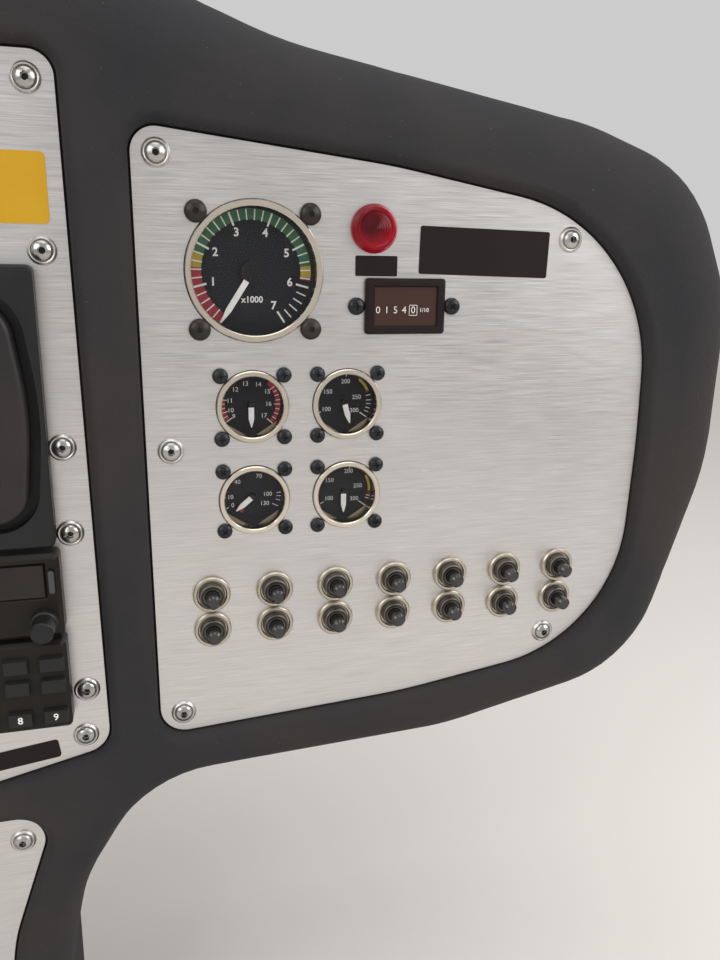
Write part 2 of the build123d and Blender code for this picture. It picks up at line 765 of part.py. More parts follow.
def transponder_key():
    base = PLATE_Y - AVIONICS_PROUD
    width, height = KEY_SIZE
    top = Rectangle(width - 2 * KEY_DRAFT, height - 2 * KEY_DRAFT)
    return tapering(top, base - KEY_T, Rectangle(width, height), base)


def toggle_places():
    return [(TOGGLE_X + i * TOGGLE_PITCH, TOGGLE_Z) for i in range(TOGGLE_COUNT)]


def toggle_body():
    """Switch body, its threaded bush and the nut that clamps it to the plate."""
    width, height, depth = TOGGLE_BODY
    body = block(0, 0, width, height, SEAT_Y, SEAT_Y + depth)
    body += disc(0, 0, TOGGLE_BUSH_R, PLATE_Y - TOGGLE_BUSH_PROUD, SEAT_Y)
    return body + between(RegularPolygon(TOGGLE_NUT_R, 6), PLATE_Y - TOGGLE_NUT_T, PLATE_Y)


def toggle_lever():
    """Bat lever, thicker towards its rounded tip, tilted down to the off side."""
    lever = turned([
        (0, 0),
        (TOGGLE_LEVER_R, 0),
        (TOGGLE_TIP_R, TOGGLE_TIP_R - TOGGLE_LEVER_L),
        (TOGGLE_TIP_FLAT_R, -TOGGLE_LEVER_L),
        (0, -TOGGLE_LEVER_L),
    ])
    lift = TOGGLE_LEVER_R * sin(radians(abs(TOGGLE_TILT)))
    foot = Pos(0, PLATE_Y - TOGGLE_BUSH_PROUD - lift, 0)
    return foot * Rot(TOGGLE_TILT, 0, 0) * lever


def key_switch():
    front = PLATE_Y - KEY_SWITCH_PROUD
    switch = turned([
        (0, front),
        (KEY_SWITCH_R - KEY_SWITCH_BEVEL, front),
        (KEY_SWITCH_R, front + KEY_SWITCH_BEVEL),
        (KEY_SWITCH_R, PLATE_Y),
        (KEY_SWITCH_BARREL_R, PLATE_Y),
        (KEY_SWITCH_BARREL_R, SEAT_Y + KEY_SWITCH_DEPTH),
        (0, SEAT_Y + KEY_SWITCH_DEPTH),
    ])
    width, height, depth = KEY_SWITCH_SLOT
    return switch - block(0, 0, width, height, front, front + depth)


def pull_knob():
    """Push-pull control: bush in the plate, shaft and round knob."""
    neck = PLATE_Y - PULL_BUSH_PROUD - PULL_SHAFT_PROUD
    control = disc(0, 0, PULL_BUSH_R, PLATE_Y - PULL_BUSH_PROUD, PLATE_Y)
    control += disc(0, 0, PULL_SHAFT_R, neck, SEAT_Y + PULL_DEPTH)
    return control + turned([
        (0, neck),
        (PULL_NECK_R, neck),
        (PULL_KNOB_R, neck - PULL_BULGE_T),
        (PULL_FACE_R, neck - PULL_KNOB_T),
        (0, neck - PULL_KNOB_T),
    ])


def round_cuts(places, radius):
    return [Pos(x, z) * Circle(radius + CUT_FIT) for x, z in places]


def box_cut(x, z, width, height):
    return Pos(x, z) * Rectangle(width + 2 * CUT_FIT, height + 2 * CUT_FIT)


def right_plate(outline):
    cuts = gauge_cuts(MEDIUM_GAUGES[:1], MEDIUM) + gauge_cuts(SMALL_GAUGES, SMALL)
    cuts += round_cuts(breaker_places(), BUSH_R)
    cuts += round_cuts([(LAMP_X, LAMP_Z)], LAMP_BARREL_R)
    cuts.append(box_cut(HOUR_X, HOUR_Z, HOUR_BODY[0], HOUR_BODY[1]))
    ears = [(HOUR_X + side * HOUR_SCREW_SPAN / 2, HOUR_Z) for side in (-1, 1)]
    return plate(outline, SIDE_SCREWS + ears, cuts)


def left_plate(outline):
    cuts = gauge_cuts(LARGE_GAUGES, LARGE) + gauge_cuts(MEDIUM_GAUGES[1:], MEDIUM)
    cuts += round_cuts(toggle_places(), TOGGLE_BUSH_R)
    cuts += round_cuts([(KEY_SWITCH_X, TOGGLE_Z)], KEY_SWITCH_BARREL_R)
    return plate(outline, [(-x, z) for x, z in SIDE_SCREWS], cuts)


def both_sides(screws):
    return screws + [(-x, z) for x, z in screws]


def centre_plate(outline):
    cuts = [box_cut(0, dock_z(), DOCK_TUB[0], DOCK_TUB[1])]
    units = ((radio_z(), RADIO_HEIGHT), (transponder_z(), TRANSPONDER_HEIGHT))
    for z, height in units:
        body_height = height - 2 * AVIONICS_BODY_INSET
        cuts.append(box_cut(0, z, AVIONICS_BODY_WIDTH, body_height))
    return plate(outline, both_sides(CENTRE_SCREWS), cuts)


def stem_plate(outline):
    cuts = round_cuts([(0, z) for z in PULL_KNOBS_Z], PULL_SHAFT_R)
    return plate(outline, both_sides(STEM_SCREWS), cuts)


def gauge_nodes(label, gauges, kind, needle):
    """Cases, rings, glasses and dials of one size of instrument, and each needle."""
    places = [(x, z) for name, x, z, angle in gauges]
    nodes = {
        f"{label}_cases": placed(gauge_case(kind), places),
        f"{label}_rings": placed(gauge_ring(kind), places),
        f"{label}_glasses": placed(gauge_glass(kind), places),
        f"{label}_dials": placed(gauge_dial(kind), places),
    }
    for name, x, z, angle in gauges:
        nodes[f"{name}_needle"] = placed(gauge_needle(angle, kind, needle), [(x, z)])
    return nodes


def right_plate_nodes():
    breakers = breaker_places()
    lamp = [(LAMP_X, LAMP_Z)]
    hour_meter = [(HOUR_X, HOUR_Z)]
    return {
        "breaker_bodies": placed(breaker_body(), breakers),
        "breaker_nuts": placed(breaker_nut(), breakers),
        "breaker_buttons": placed(breaker_button(), breakers),
        "warning_lamp_body": placed(lamp_body(), lamp),
        "warning_lamp_lens": placed(lamp_lens(), lamp),
        "hour_meter_case": placed(hour_meter_case(), hour_meter),
        "hour_meter_counter": placed(hour_meter_counter(), hour_meter),
    }


def centre_stack_nodes():
    dock = [(0, dock_z())]
    radio = avionics_unit(RADIO_HEIGHT, RADIO_DISPLAY, RADIO_PADS)
    transponder = avionics_unit(TRANSPONDER_HEIGHT, TRANSPONDER_DISPLAY, [])
    knobs = [(x, radio_z() - RADIO_KNOB_DROP) for x in RADIO_KNOBS_X]
    return {
        "navigator_dock": placed(navigator_dock(), dock),
        "navigator": placed(navigator(), dock),
        "navigator_screen": placed(navigator_screen(), dock),
        "radio": placed(radio, [(0, radio_z())]),
        "radio_knobs": placed(knob(), knobs),
        "transponder": placed(transponder, [(0, transponder_z())]),
        "transponder_keys": placed(transponder_key(), key_places()),
    }


def left_and_stem_nodes():
    toggles = toggle_places()
    return {
        "toggle_bodies": placed(toggle_body(), toggles),
        "toggle_levers": placed(toggle_lever(), toggles),
        "key_switch": placed(key_switch(), [(KEY_SWITCH_X, TOGGLE_Z)]),
        "pull_knobs": placed(pull_knob(), [(0, z) for z in PULL_KNOBS_Z]),
    }


def all_nodes():
    plates = plate_outlines()
    return {
        "dash_shell": [dash_shell(plates)],
        "right_plate": [right_plate(plates["right"])],
        "left_plate": [left_plate(plates["left"])],
        "centre_plate": [centre_plate(plates["centre"])],
        "stem_plate": [stem_plate(plates["stem"])],
        **right_plate_nodes(),
        **centre_stack_nodes(),
        **left_and_stem_nodes(),
        **gauge_nodes("small_gauge", SMALL_GAUGES, SMALL, SMALL_NEEDLE),
        **gauge_nodes("medium_gauge", MEDIUM_GAUGES, MEDIUM, MEDIUM_NEEDLE),
        **gauge_nodes("large_gauge", LARGE_GAUGES, LARGE, LARGE_NEEDLE),
    }


os.makedirs("parts", exist_ok=True)
for node, pieces in all_nodes().items():
    solids = [solid for piece in pieces for solid in piece.solids()]
    export_step(Compound(solids), f"parts/{node}.step")
    print(node, len(solids))
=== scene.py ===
# %% [markdown]
# A cockpit instrument panel
#
# The imported model is the fixed frame: every piece already lies where it belongs, in
# metres. This script gives each piece its finish and adds what is printed, screwed or
# glazed on.

import bmesh
import bpy
import json
from math import cos, pi, radians, sin
from mathutils import Matrix, Vector


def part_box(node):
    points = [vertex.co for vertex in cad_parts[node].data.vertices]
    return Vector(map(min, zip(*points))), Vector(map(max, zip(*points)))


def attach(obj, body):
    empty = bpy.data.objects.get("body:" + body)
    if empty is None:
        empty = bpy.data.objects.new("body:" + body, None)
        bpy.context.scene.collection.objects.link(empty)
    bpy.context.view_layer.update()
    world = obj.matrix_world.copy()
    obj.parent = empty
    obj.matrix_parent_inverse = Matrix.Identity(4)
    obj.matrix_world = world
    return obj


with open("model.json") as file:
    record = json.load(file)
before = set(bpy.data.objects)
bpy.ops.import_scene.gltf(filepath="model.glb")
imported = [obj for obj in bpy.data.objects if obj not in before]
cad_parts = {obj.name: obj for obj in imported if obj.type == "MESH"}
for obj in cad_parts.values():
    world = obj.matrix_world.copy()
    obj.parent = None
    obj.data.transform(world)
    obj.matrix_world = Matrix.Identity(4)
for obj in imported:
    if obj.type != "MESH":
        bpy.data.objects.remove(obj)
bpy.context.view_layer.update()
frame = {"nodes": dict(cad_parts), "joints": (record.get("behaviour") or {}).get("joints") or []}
MM = 0.001                  # metres; sizes of pieces and patterns below are in millimetres

# %% [markdown]
# Where the photographer stood
#
# The viewpoint was solved from points on the right plate, and the usual sizes of its
# gauges set the scale. It lies about 35 cm in front of the plates, level with the engine
# speed gauge, and looks down and to the right. The lens is about that of a phone.

# %% Camera
camera_data = bpy.data.cameras.new("viewpoint")
camera_data.lens = 30.333
camera_data.sensor_width = 36.0
camera_data.clip_start = 0.01
camera = bpy.data.objects.new("viewpoint", camera_data)
camera.location = (0.118595, -0.399799, 0.474406)
camera.rotation_euler = [radians(turn) for turn in (74.9545, -0.7870, -14.7824)]
bpy.context.scene.collection.objects.link(camera)
bpy.context.scene.camera = camera
print("camera at", tuple(camera.location))

# %% [markdown]
# Light
#
# The cockpit is lit through its large windows, so light comes softly from above and
# from both sides. Three broad lamps and a pale surround do the same. A colour then
# renders about as it is written, and brushed metal has something pale to mirror. The
# surround is neutral, so that bare metal keeps its own grey.

# %% Lamps, surround and floor
scene = bpy.context.scene
scene.view_settings.view_transform = "Standard"
PANEL_MIDDLE = (0.0, -0.05, 0.4)        # metres, like the places and sizes of the lamps


def lamp(name, size, watts, place):
    """Square soft lamp that faces the panel's middle."""
    light = bpy.data.lights.new(name, "AREA")
    light.size = size
    light.energy = watts
    made = bpy.data.objects.new(name, light)
    made.location = place
    towards = Vector(PANEL_MIDDLE) - Vector(place)
    made.rotation_euler = towards.to_track_quat("-Z", "Y").to_euler()
    scene.collection.objects.link(made)


lamp("window_left", size=1.2, watts=12.0, place=(-1.1, -1.3, 1.3))
lamp("window_right", size=1.0, watts=12.0, place=(1.4, -0.9, 1.1))
lamp("roof_window", size=1.4, watts=10.0, place=(0.2, -0.2, 1.9))


def linear(code):
    """Linear colour from an sRGB hex code."""
    parts = [int(code[i:i + 2], 16) / 255 for i in (1, 3, 5)]
    straight = [p / 12.92 if p <= 0.04045 else ((p + 0.055) / 1.055) ** 2.4 for p in parts]
    return (*straight, 1)


def finish(name, colour, roughness, metallic=0.0, **extra):
    """New material with its shader's own values set. Returns it with its tree and shader."""
    made = bpy.data.materials.new(name)
    made.use_nodes = True
    shader = made.node_tree.nodes["Principled BSDF"]
    shader.inputs["Base Color"].default_value = linear(colour)
    shader.inputs["Roughness"].default_value = roughness
    shader.inputs["Metallic"].default_value = metallic
    for label, value in extra.items():
        shader.inputs[label.replace("_", " ")].default_value = value
    return made, made.node_tree, shader


world = bpy.data.worlds.new("pale_surround")
world.use_nodes = True
surround = world.node_tree.nodes["Background"].inputs
surround["Color"].default_value = linear("#e8e8e8")
surround["Strength"].default_value = 0.75
scene.world = world

FLOOR_REACH = 6.0           # metres from the middle to an edge
floor_bm = bmesh.new()
bmesh.ops.create_grid(floor_bm, x_segments=1, y_segments=1, size=FLOOR_REACH)
floor_mesh = bpy.data.meshes.new("studio_floor")
floor_bm.to_mesh(floor_mesh)
floor = bpy.data.objects.new("studio_floor", floor_mesh)
scene.collection.objects.link(floor)
floor_mesh.materials.append(finish("matt_floor_paint", "#e4e0da", 0.9)[0])

# %% [markdown]
# Finishes
#
# Every finish is a small node tree on the piece's own coordinates, in metres, so a
# pattern keeps its real size on every piece. A noise scale is worked out from the size
# of what it stands for: a grain of 1 mm repeats a thousand times in a metre.

# %% Helpers for finishes


def add(tree, kind, links=None, **settings):
    """Adds one node: settings are its properties, links its inputs, values or sockets."""
    made = tree.nodes.new(kind)
    for name, value in settings.items():
        setattr(made, name, value)
    for name, value in (links or {}).items():
        if isinstance(value, bpy.types.NodeSocket):
            tree.links.new(value, made.inputs[name])
        else:
            made.inputs[name].default_value = value
    return made


def per_metre(millimetres):
    """Noise scale whose pattern is about this size."""
    return 1 / (millimetres * MM)


def noise(tree, millimetres, detail=2.0, stretch=(1.0, 1.0, 1.0)):
    """Noise of a real size, drawn out along the axes whose stretch is above one."""
    place = add(tree, "ShaderNodeTexCoord").outputs["Object"]
    squeezed = tuple(1.0 / s for s in stretch)
    place = add(tree, "ShaderNodeMapping", {"Vector": place, "Scale": squeezed}).outputs["Vector"]
    return add(tree, "ShaderNodeTexNoise", {
        "Vector": place, "Scale": per_metre(millimetres), "Detail": detail,
    }).outputs["Fac"]


def ranged(tree, value, low, high, from_low=0.3, from_high=0.7):
    """A value brought from one range to another. Noise mostly lies between 0.3 and 0.7."""
    return add(tree, "ShaderNodeMapRange", {
        "Value": value, "From Min": from_low, "From Max": from_high,
        "To Min": low, "To Max": high,
    }).outputs["Result"]


# The mix node has sockets of one name for each kind of value, so they go by number.
MIX_AMOUNT, MIX_FIRST, MIX_SECOND = 0, 6, 7
MIX_RESULT = 2


def mixed(tree, amount, first, second):
    """Colour between two, each a hex code or a socket."""
    first, second = (linear(c) if isinstance(c, str) else c for c in (first, second))
    links = {MIX_AMOUNT: amount, MIX_FIRST: first, MIX_SECOND: second}
    return add(tree, "ShaderNodeMix", links, data_type="RGBA").outputs[MIX_RESULT]


def embossed(tree, shader, height, millimetres, strength=1.0, below=None):
    """Bump of a real depth, laid over another bump if there is one."""
    links = {"Height": height, "Distance": millimetres * MM, "Strength": strength}
    if below:
        links["Normal"] = below
    made = add(tree, "ShaderNodeBump", links).outputs["Normal"]
    tree.links.new(made, shader.inputs["Normal"])
    return made


print("finish helpers ready")

# %% [markdown]
# The moulded pod
#
# The pod is a glass-fibre moulding sprayed with a thick textured paint, matt anthracite
# with a fine pebbly grain. Such paint takes no highlight, only a soft lightening towards
# the sky, so its specular level is low and its roughness high. Dust lies in the grain and
# the colour isn't even: a slow noise mixes in a browner tone. The grain is two bumps, one
# of about a millimetre on a coarser one, and tiny pale chips lie here and there.

# %% Textured paint
textured_paint, tree, shader = finish(
    "textured_anthracite_paint", "#2d2c2c", 0.85, Specular_IOR_Level=0.3)
dust = ranged(tree, noise(tree, 70.0, detail=4.0), 0.0, 1.0)
ground = mixed(tree, dust, "#27272a", "#332f2e")
chips = ranged(tree, noise(tree, 1.2), 0.0, 0.7, from_low=0.745, from_high=0.76)
tree.links.new(mixed(tree, chips, ground, "#5e5a57"), shader.inputs["Base Color"])
coarse = embossed(tree, shader, noise(tree, 3.5), millimetres=0.25, strength=0.6)
fine = noise(tree, 1.1, detail=3.0)
embossed(tree, shader, fine, millimetres=0.22, strength=0.9, below=coarse)
print("moulding", textured_paint.name)

# %% [markdown]
# The brushed plates
#
# The plates are sheet aluminium, brushed from side to side with a coarse belt. The
# scratches are long and very thin, so the noise is drawn out along X and a highlight
# spreads up and down. Real lines are finer than a tenth of a millimetre; they are drawn
# about half a millimetre wide, because finer ones wouldn't show. Broader bands differ a
# little in tone, wiping leaves faint clouds in the gloss, and a few short bright
# scratches lie along the grain.

# %% Brushed aluminium
brushed, tree, shader = finish("brushed_aluminium", "#cfcdcc", 0.34, metallic=1.0)
lines = noise(tree, 0.45, detail=3.0, stretch=(45.0, 1.0, 1.0))
bands = noise(tree, 3.5, detail=3.0, stretch=(30.0, 1.0, 1.0))
clouds = noise(tree, 60.0, detail=3.0)
tone = mixed(tree, ranged(tree, lines, 0.0, 1.0), "#c6c3c2", "#dbd9d8")
tone = mixed(tree, ranged(tree, bands, 0.0, 0.17), tone, "#c5beba")
scratch = noise(tree, 0.9, detail=1.0, stretch=(14.0, 1.0, 1.0))
scratch = ranged(tree, scratch, 0.0, 0.6, from_low=0.79, from_high=0.80)
tree.links.new(mixed(tree, scratch, tone, "#f0efee"), shader.inputs["Base Color"])
gloss = add(tree, "ShaderNodeMath", {
    0: ranged(tree, lines, 0.30, 0.44), 1: ranged(tree, clouds, -0.04, 0.05),
}, operation="ADD").outputs["Value"]
tree.links.new(gloss, shader.inputs["Roughness"])
embossed(tree, shader, lines, millimetres=0.04, strength=0.55)
print("plates", brushed.name)

# %% [markdown]
# Plastics and paints
#
# The radios, the navigator and the instrument cases are moulded or painted in near-black
# tones that differ a little in warmth and gloss. That difference is what keeps them
# apart to the eye. Each has a fine grain and slight handling marks in its gloss. Inks,
# foils and the primer of the dials' trays differ in the same numbers only, so one
# function makes them all.

# %% Black and grey finishes


def grained(name, colour, lighter, roughness, grain_mm, depth_mm, metallic=0.0, **extra):
    """Plain finish with grain and a slight unevenness of tone and gloss."""
    made, tree, shader = finish(name, colour, roughness, metallic, **extra)
    cloud = noise(tree, 25.0, detail=3.0)
    tone = mixed(tree, ranged(tree, cloud, 0.0, 0.6), colour, lighter)
    gloss = ranged(tree, cloud, roughness - 0.05, roughness + 0.07)
    tree.links.new(tone, shader.inputs["Base Color"])
    tree.links.new(gloss, shader.inputs["Roughness"])
    embossed(tree, shader, noise(tree, grain_mm), depth_mm, strength=0.6)
    return made


SATIN = {"Specular_IOR_Level": 0.3}
moulded_black = grained("moulded_black_abs", "#19191a", "#222223", 0.42, 0.7, 0.04, **SATIN)
moulded_grey = grained("moulded_warm_grey_abs", "#262324", "#302b2b", 0.42, 0.6, 0.04, **SATIN)
painted_black = grained(
    "satin_black_enamel", "#181513", "#221e1b", 0.38, 0.9, 0.03, Specular_IOR_Level=0.2)
phenolic = grained(
    "moulded_dark_grey_phenolic", "#1d1c1c", "#2a2827", 0.16, 0.5, 0.01, Specular_IOR_Level=0.7)
key_rubber = grained("moulded_key_rubber", "#1b1b1b", "#242424", 0.55, 0.5, 0.03, **SATIN)
pad_rubber = grained("moulded_pale_grey_rubber", "#3e3e40", "#4a4a4c", 0.55, 0.5, 0.03)
printed_black = grained("matt_black_dial_paint", "#11131b", "#181a24", 0.62, 0.5, 0.003, **SATIN)
DRY_INK = {"roughness": 0.55, "grain_mm": 0.6, "depth_mm": 0.005}
print_white = grained("white_screen_ink", "#e6e5e1", "#f2f1ed", **DRY_INK)
print_red = grained("red_screen_ink", "#9c1c2b", "#ab2735", **DRY_INK)
print_yellow = grained("yellow_screen_ink", "#b39c2c", "#c2ab3a", **DRY_INK)
print_green = grained("green_screen_ink", "#2b6440", "#37734c", **DRY_INK)
tray_cream = grained("cream_primer", "#a8987b", "#b5a68a", 0.55, 0.6, 0.01)
placard_black = grained(
    "printed_black_foil", "#1e1617", "#261c1d", 0.48, 0.8, 0.01, Specular_IOR_Level=0.15)
placard_yellow = grained("yellow_vinyl_film", "#bd8f14", "#c99b1f", 0.45, 0.8, 0.01, **SATIN)
printed_brown = grained(
    "dark_brown_counter_face", "#38211b", "#462a22", 0.45, 0.5, 0.01, **SATIN)
print("plain finishes made")

# %% [markdown]
# Bare metals
#
# The bezels of the small and medium gauges are plated and lacquered, a silvery champagne
# colour that turns bright on the inner wall. The nuts of the breakers are satin nickel
# with a warm tone, and the toggles and cup washers are as grey as the plate. The screws
# that hold the plates are stainless steel. The black screws of the gauges are oxidised
# steel with an oily sheen, worn to a charcoal brown on the medium and large ones. The
# collars inside the breakers are dulled zinc plate.

# %% Metals
champagne = grained(
    "champagne_nickel_plate", "#d6cbbb", "#e0d7c9", 0.22, 0.6, 0.008, metallic=1.0)
nut_metal = grained("satin_nickel_plate", "#c4c1bc", "#d2cfca", 0.34, 0.4, 0.01, metallic=1.0)
warm_nickel = grained(
    "warm_satin_nickel_plate", "#b8afa0", "#c9c1b3", 0.34, 0.4, 0.01, metallic=1.0)
stainless = grained(
    "bright_stainless_steel", "#a6a4a0", "#c2c0bd", 0.27, 0.5, 0.01, metallic=1.0)
oxide = grained("black_oxide_steel", "#1b1d20", "#2e3135", 0.30, 0.4, 0.01, metallic=0.5)
worn_oxide = grained(
    "worn_brown_oxide_steel", "#2b2725", "#3d3733", 0.36, 0.4, 0.01, metallic=0.6)
zinc = grained("dulled_zinc_plate", "#5b5956", "#726f6b", 0.38, 0.4, 0.01, metallic=0.8)
print("metals made")

# %% [markdown]
# Glass and the lamp lens
#
# The gauge glasses are clear and flat and have a coating against reflections. Plain glass
# has an index of 1.5; it is lowered here, so that the panes mirror as little as coated
# ones do and the dials behind them stay dark. The lens of the warning lamp is clear red
# acrylic with moulded rings, deep red in itself. Painted shade darkens it up and to the
# left of its middle, painted light brightens its lower right, and painted highlights lie
# on the rings there. The displays are switched off, so their glass is almost black.

# %% Clear and coloured glass
clear_glass, tree, shader = finish(
    "coated_clear_glass", "#ffffff", 0.02, Transmission_Weight=1.0, IOR=1.2)
smudge = noise(tree, 14.0, detail=4.0)
tree.links.new(ranged(tree, smudge, 0.01, 0.05), shader.inputs["Roughness"])


def middle(name):
    """X and Z of the middle of a solid's box, in millimetres."""
    low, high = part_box(name)
    return (low.x + high.x) / 2 / MM, (low.z + high.z) / 2 / MM


LAMP_X, LAMP_Z = middle("warning_lamp_lens")
# painted shade and light on the lens: darkest up and to the left of its middle, lighter towards its
# lower right
PAINTED_SHADE_MIDDLE = (LAMP_X - 2.2, LAMP_Z + 1.7)
RINGS_MIDDLE = (LAMP_X - 1.8, LAMP_Z - 0.4)
RING_PITCH = 1.0
PAINTED_SHADE_R, PAINTED_LIGHT_R = 3.5, 11.5       # round the painted shade's middle: painted shade inside one, painted light all outside the other


def distance_from(tree, x, z):
    """Distance in metres from the axis at X, Z in millimetres that runs along Y."""
    place = add(tree, "ShaderNodeTexCoord").outputs["Object"]
    centred = add(tree, "ShaderNodeMapping", {
        "Vector": place, "Location": (-x * MM, 0.0, -z * MM), "Scale": (1.0, 0.0, 1.0),
    }).outputs["Vector"]
    return add(tree, "ShaderNodeVectorMath", {0: centred}, operation="LENGTH").outputs["Value"]


red_lens, tree, shader = finish(
    "clear_red_acrylic", "#a80a18", 0.20, IOR=1.49, Specular_IOR_Level=0.18)
away = distance_from(tree, *PAINTED_SHADE_MIDDLE)
# rim is the share of painted light, growing with the distance from the painted shade's middle
rim = ranged(tree, away, 0.0, 1.0, from_low=PAINTED_SHADE_R * MM, from_high=PAINTED_LIGHT_R * MM)
deep_red_and_painted_shade = mixed(tree, ranged(tree, noise(tree, 6.0), 0.0, 1.0), "#470d14", "#551118")
red_with_painted_light = mixed(tree, rim, deep_red_and_painted_shade, "#960d1d")
# painted highlights: the rings' crests turn lighter only where the painted light lies
away = distance_from(tree, *RINGS_MIDDLE)
rings = add(tree, "ShaderNodeMath", {0: away, 1: 2 * pi * per_metre(RING_PITCH)},
            operation="MULTIPLY").outputs["Value"]
wave = add(tree, "ShaderNodeMath", {0: rings}, operation="SINE").outputs["Value"]
crests = ranged(tree, wave, 0.0, 0.5, from_low=0.3, from_high=1.0)
painted_glint = add(tree, "ShaderNodeMath", {0: crests, 1: rim}, operation="MULTIPLY").outputs["Value"]
tree.links.new(mixed(tree, painted_glint, red_with_painted_light, "#c4283a"), shader.inputs["Base Color"])

display_glass, tree, shader = finish(
    "dark_display_glass", "#0c0d10", 0.08, Specular_IOR_Level=0.4)
smear = noise(tree, 18.0, detail=4.0)
tone = mixed(tree, ranged(tree, smear, 0.0, 1.0), "#0d0b0c", "#241815")
tree.links.new(tone, shader.inputs["Base Color"])
tree.links.new(ranged(tree, smear, 0.06, 0.16), shader.inputs["Roughness"])
print("glasses made")

# %% [markdown]
# Two finishes on one piece
#
# A threaded bush shows its thread as fine rings along its length, and the housing behind
# the plate is black plastic. A needle is white on its blade and black on its hub, with a
# straight border across the blade. Both are one solid, so the finish reads where on the
# piece it is: the depth along Y, or the distance along the blade.

# %% Thread and needles
thread, tree, shader = finish("threaded_dull_brass", "#2b2926", 0.35)
place = add(tree, "ShaderNodeTexCoord").outputs["Object"]
THREAD_PITCH = 0.9
THREAD_END_Y = -47.8        # just in front of the plates' backs
WAVE_REPEAT = 2 * pi / 20   # metres between the crests of a wave texture of scale 1
turns = add(tree, "ShaderNodeTexWave", {
    "Vector": place, "Scale": WAVE_REPEAT * per_metre(THREAD_PITCH),
}, wave_type="BANDS", bands_direction="Y", wave_profile="SIN").outputs["Fac"]
embossed(tree, shader, turns, millimetres=0.25)
depth = add(tree, "ShaderNodeSeparateXYZ", {"Vector": place}).outputs["Y"]
behind = add(tree, "ShaderNodeMath", {0: depth, 1: THREAD_END_Y * MM},
             operation="GREATER_THAN").outputs["Value"]
metal = mixed(tree, turns, "#2e2c29", "#7a746b")
housing = mixed(tree, ranged(tree, noise(tree, 8.0), 0.0, 1.0), "#1a1a1b", "#252526")
tree.links.new(mixed(tree, behind, metal, housing), shader.inputs["Base Color"])
metallic = ranged(tree, behind, 0.7, 0.0, from_low=0.0, from_high=1.0)
tree.links.new(metallic, shader.inputs["Metallic"])


def pointer_paint(name, x, z, rest, start):
    """Needle paint, black up to a distance from X, Z along the blade and white beyond it."""
    made, tree, shader = finish(name, "#e9e8e4", 0.5, **SATIN)
    place = add(tree, "ShaderNodeTexCoord").outputs["Object"]
    centred = add(tree, "ShaderNodeVectorMath", {0: place, 1: (x * MM, 0.0, z * MM)},
                  operation="SUBTRACT").outputs["Vector"]
    blade = (sin(radians(rest)), 0.0, cos(radians(rest)))
    along = add(tree, "ShaderNodeVectorMath", {0: centred, 1: blade},
                operation="DOT_PRODUCT").outputs["Value"]
    outside = add(tree, "ShaderNodeMath", {0: along, 1: start * MM},
                  operation="GREATER_THAN").outputs["Value"]
    white = mixed(tree, ranged(tree, noise(tree, 3.0), 0.0, 1.0), "#e2e1dd", "#f1f0ec")
    tree.links.new(mixed(tree, outside, "#101011", white), shader.inputs["Base Color"])
    embossed(tree, shader, noise(tree, 0.5), millimetres=0.005, strength=0.5)
    return made


print("two-part finishes ready")

# %% [markdown]
# Dress the solids
#
# Each solid of the frame keeps its shape and takes its finish here. The needle solids
# get a paint of their own, because the black hub lies at another place on each gauge.

# %% Finishes of the solids
nodes = frame["nodes"]
dressing = {
    textured_paint: ["dash_shell"],
    brushed: ["right_plate", "left_plate", "centre_plate", "stem_plate"],
    warm_nickel: ["breaker_nuts"],
    nut_metal: ["toggle_levers", "key_switch"],
    thread: ["breaker_bodies", "toggle_bodies"],
    phenolic: ["breaker_buttons"],
    red_lens: ["warning_lamp_lens"],
    moulded_black: [
        "warning_lamp_body", "navigator_dock", "radio_knobs", "pull_knobs",
        "small_gauge_cases", "medium_gauge_cases", "large_gauge_cases",
    ],
    placard_black: ["hour_meter_case"],
    printed_brown: ["hour_meter_counter"],
    moulded_grey: ["navigator"],
    display_glass: ["navigator_screen"],
    painted_black: ["radio", "transponder", "large_gauge_rings"],
    key_rubber: ["transponder_keys"],
    champagne: ["small_gauge_rings", "medium_gauge_rings"],
    clear_glass: ["small_gauge_glasses", "medium_gauge_glasses", "large_gauge_glasses"],
    printed_black: ["small_gauge_dials", "medium_gauge_dials", "large_gauge_dials"],
}


def dress(name, material):
    """Gives a solid of the frame its one finish."""
    nodes[name].data.materials.clear()
    nodes[name].data.materials.append(material)


for material, names in dressing.items():
    for name in names:
        dress(name, material)

# each needle's angle at rest, in degrees clockwise from up, and how far out its white starts
NEEDLES = {
    "voltmeter": (180.0, 1.2),
    "cylinder_temperature": (165.0, 1.2),
    "oil_pressure": (230.0, 1.2),
    "oil_temperature": (180.0, 1.2),
    "tachometer": (-147.0, 4.7),
    "vertical_speed": (-90.0, 4.7),
    "airspeed": (0.0, 6.8),
    "altimeter": (0.0, 6.8),
}
gauge_middles = {}          # X and Z of each gauge, from its needle's hinge
for joint in frame["joints"]:
    x, _, z = joint["pos_m"]
    gauge_middles[joint["name"].removesuffix("_hinge")] = (x / MM, z / MM)
for gauge, (rest, start) in NEEDLES.items():
    paint = pointer_paint(f"white_{gauge}_needle_paint", *gauge_middles[gauge], rest, start)
    dress(f"{gauge}_needle", paint)
print("solids dressed", sum(len(n) for n in dressing.values()) + len(NEEDLES))

# %% [markdown]
# Laying pieces on the panel's face
#
# Small pieces are modelled flat, in millimetres, with their own Z pointing out of the
# panel. One matrix then lays such a piece on the panel's face, turned clockwise as the
# pilot sees it. Its place ends up in its mesh, so every object stays at the origin.

# %% Helpers for small pieces
face_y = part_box("right_plate")[0].y
SHARP_ANGLE = 35            # degrees between two faces from which their edge stays sharp


def on_face(x, z, y=None, turn=0.0):
    """Matrix from a small piece's millimetres to its place at X, Z and, in metres, y."""
    y = face_y if y is None else y
    lay = Matrix(((1, 0, 0, x * MM), (0, 0, -1, y), (0, 1, 0, z * MM), (0, 0, 0, 1)))
    return lay @ Matrix.Rotation(-radians(turn), 4, "Z") @ Matrix.Scale(MM, 4)


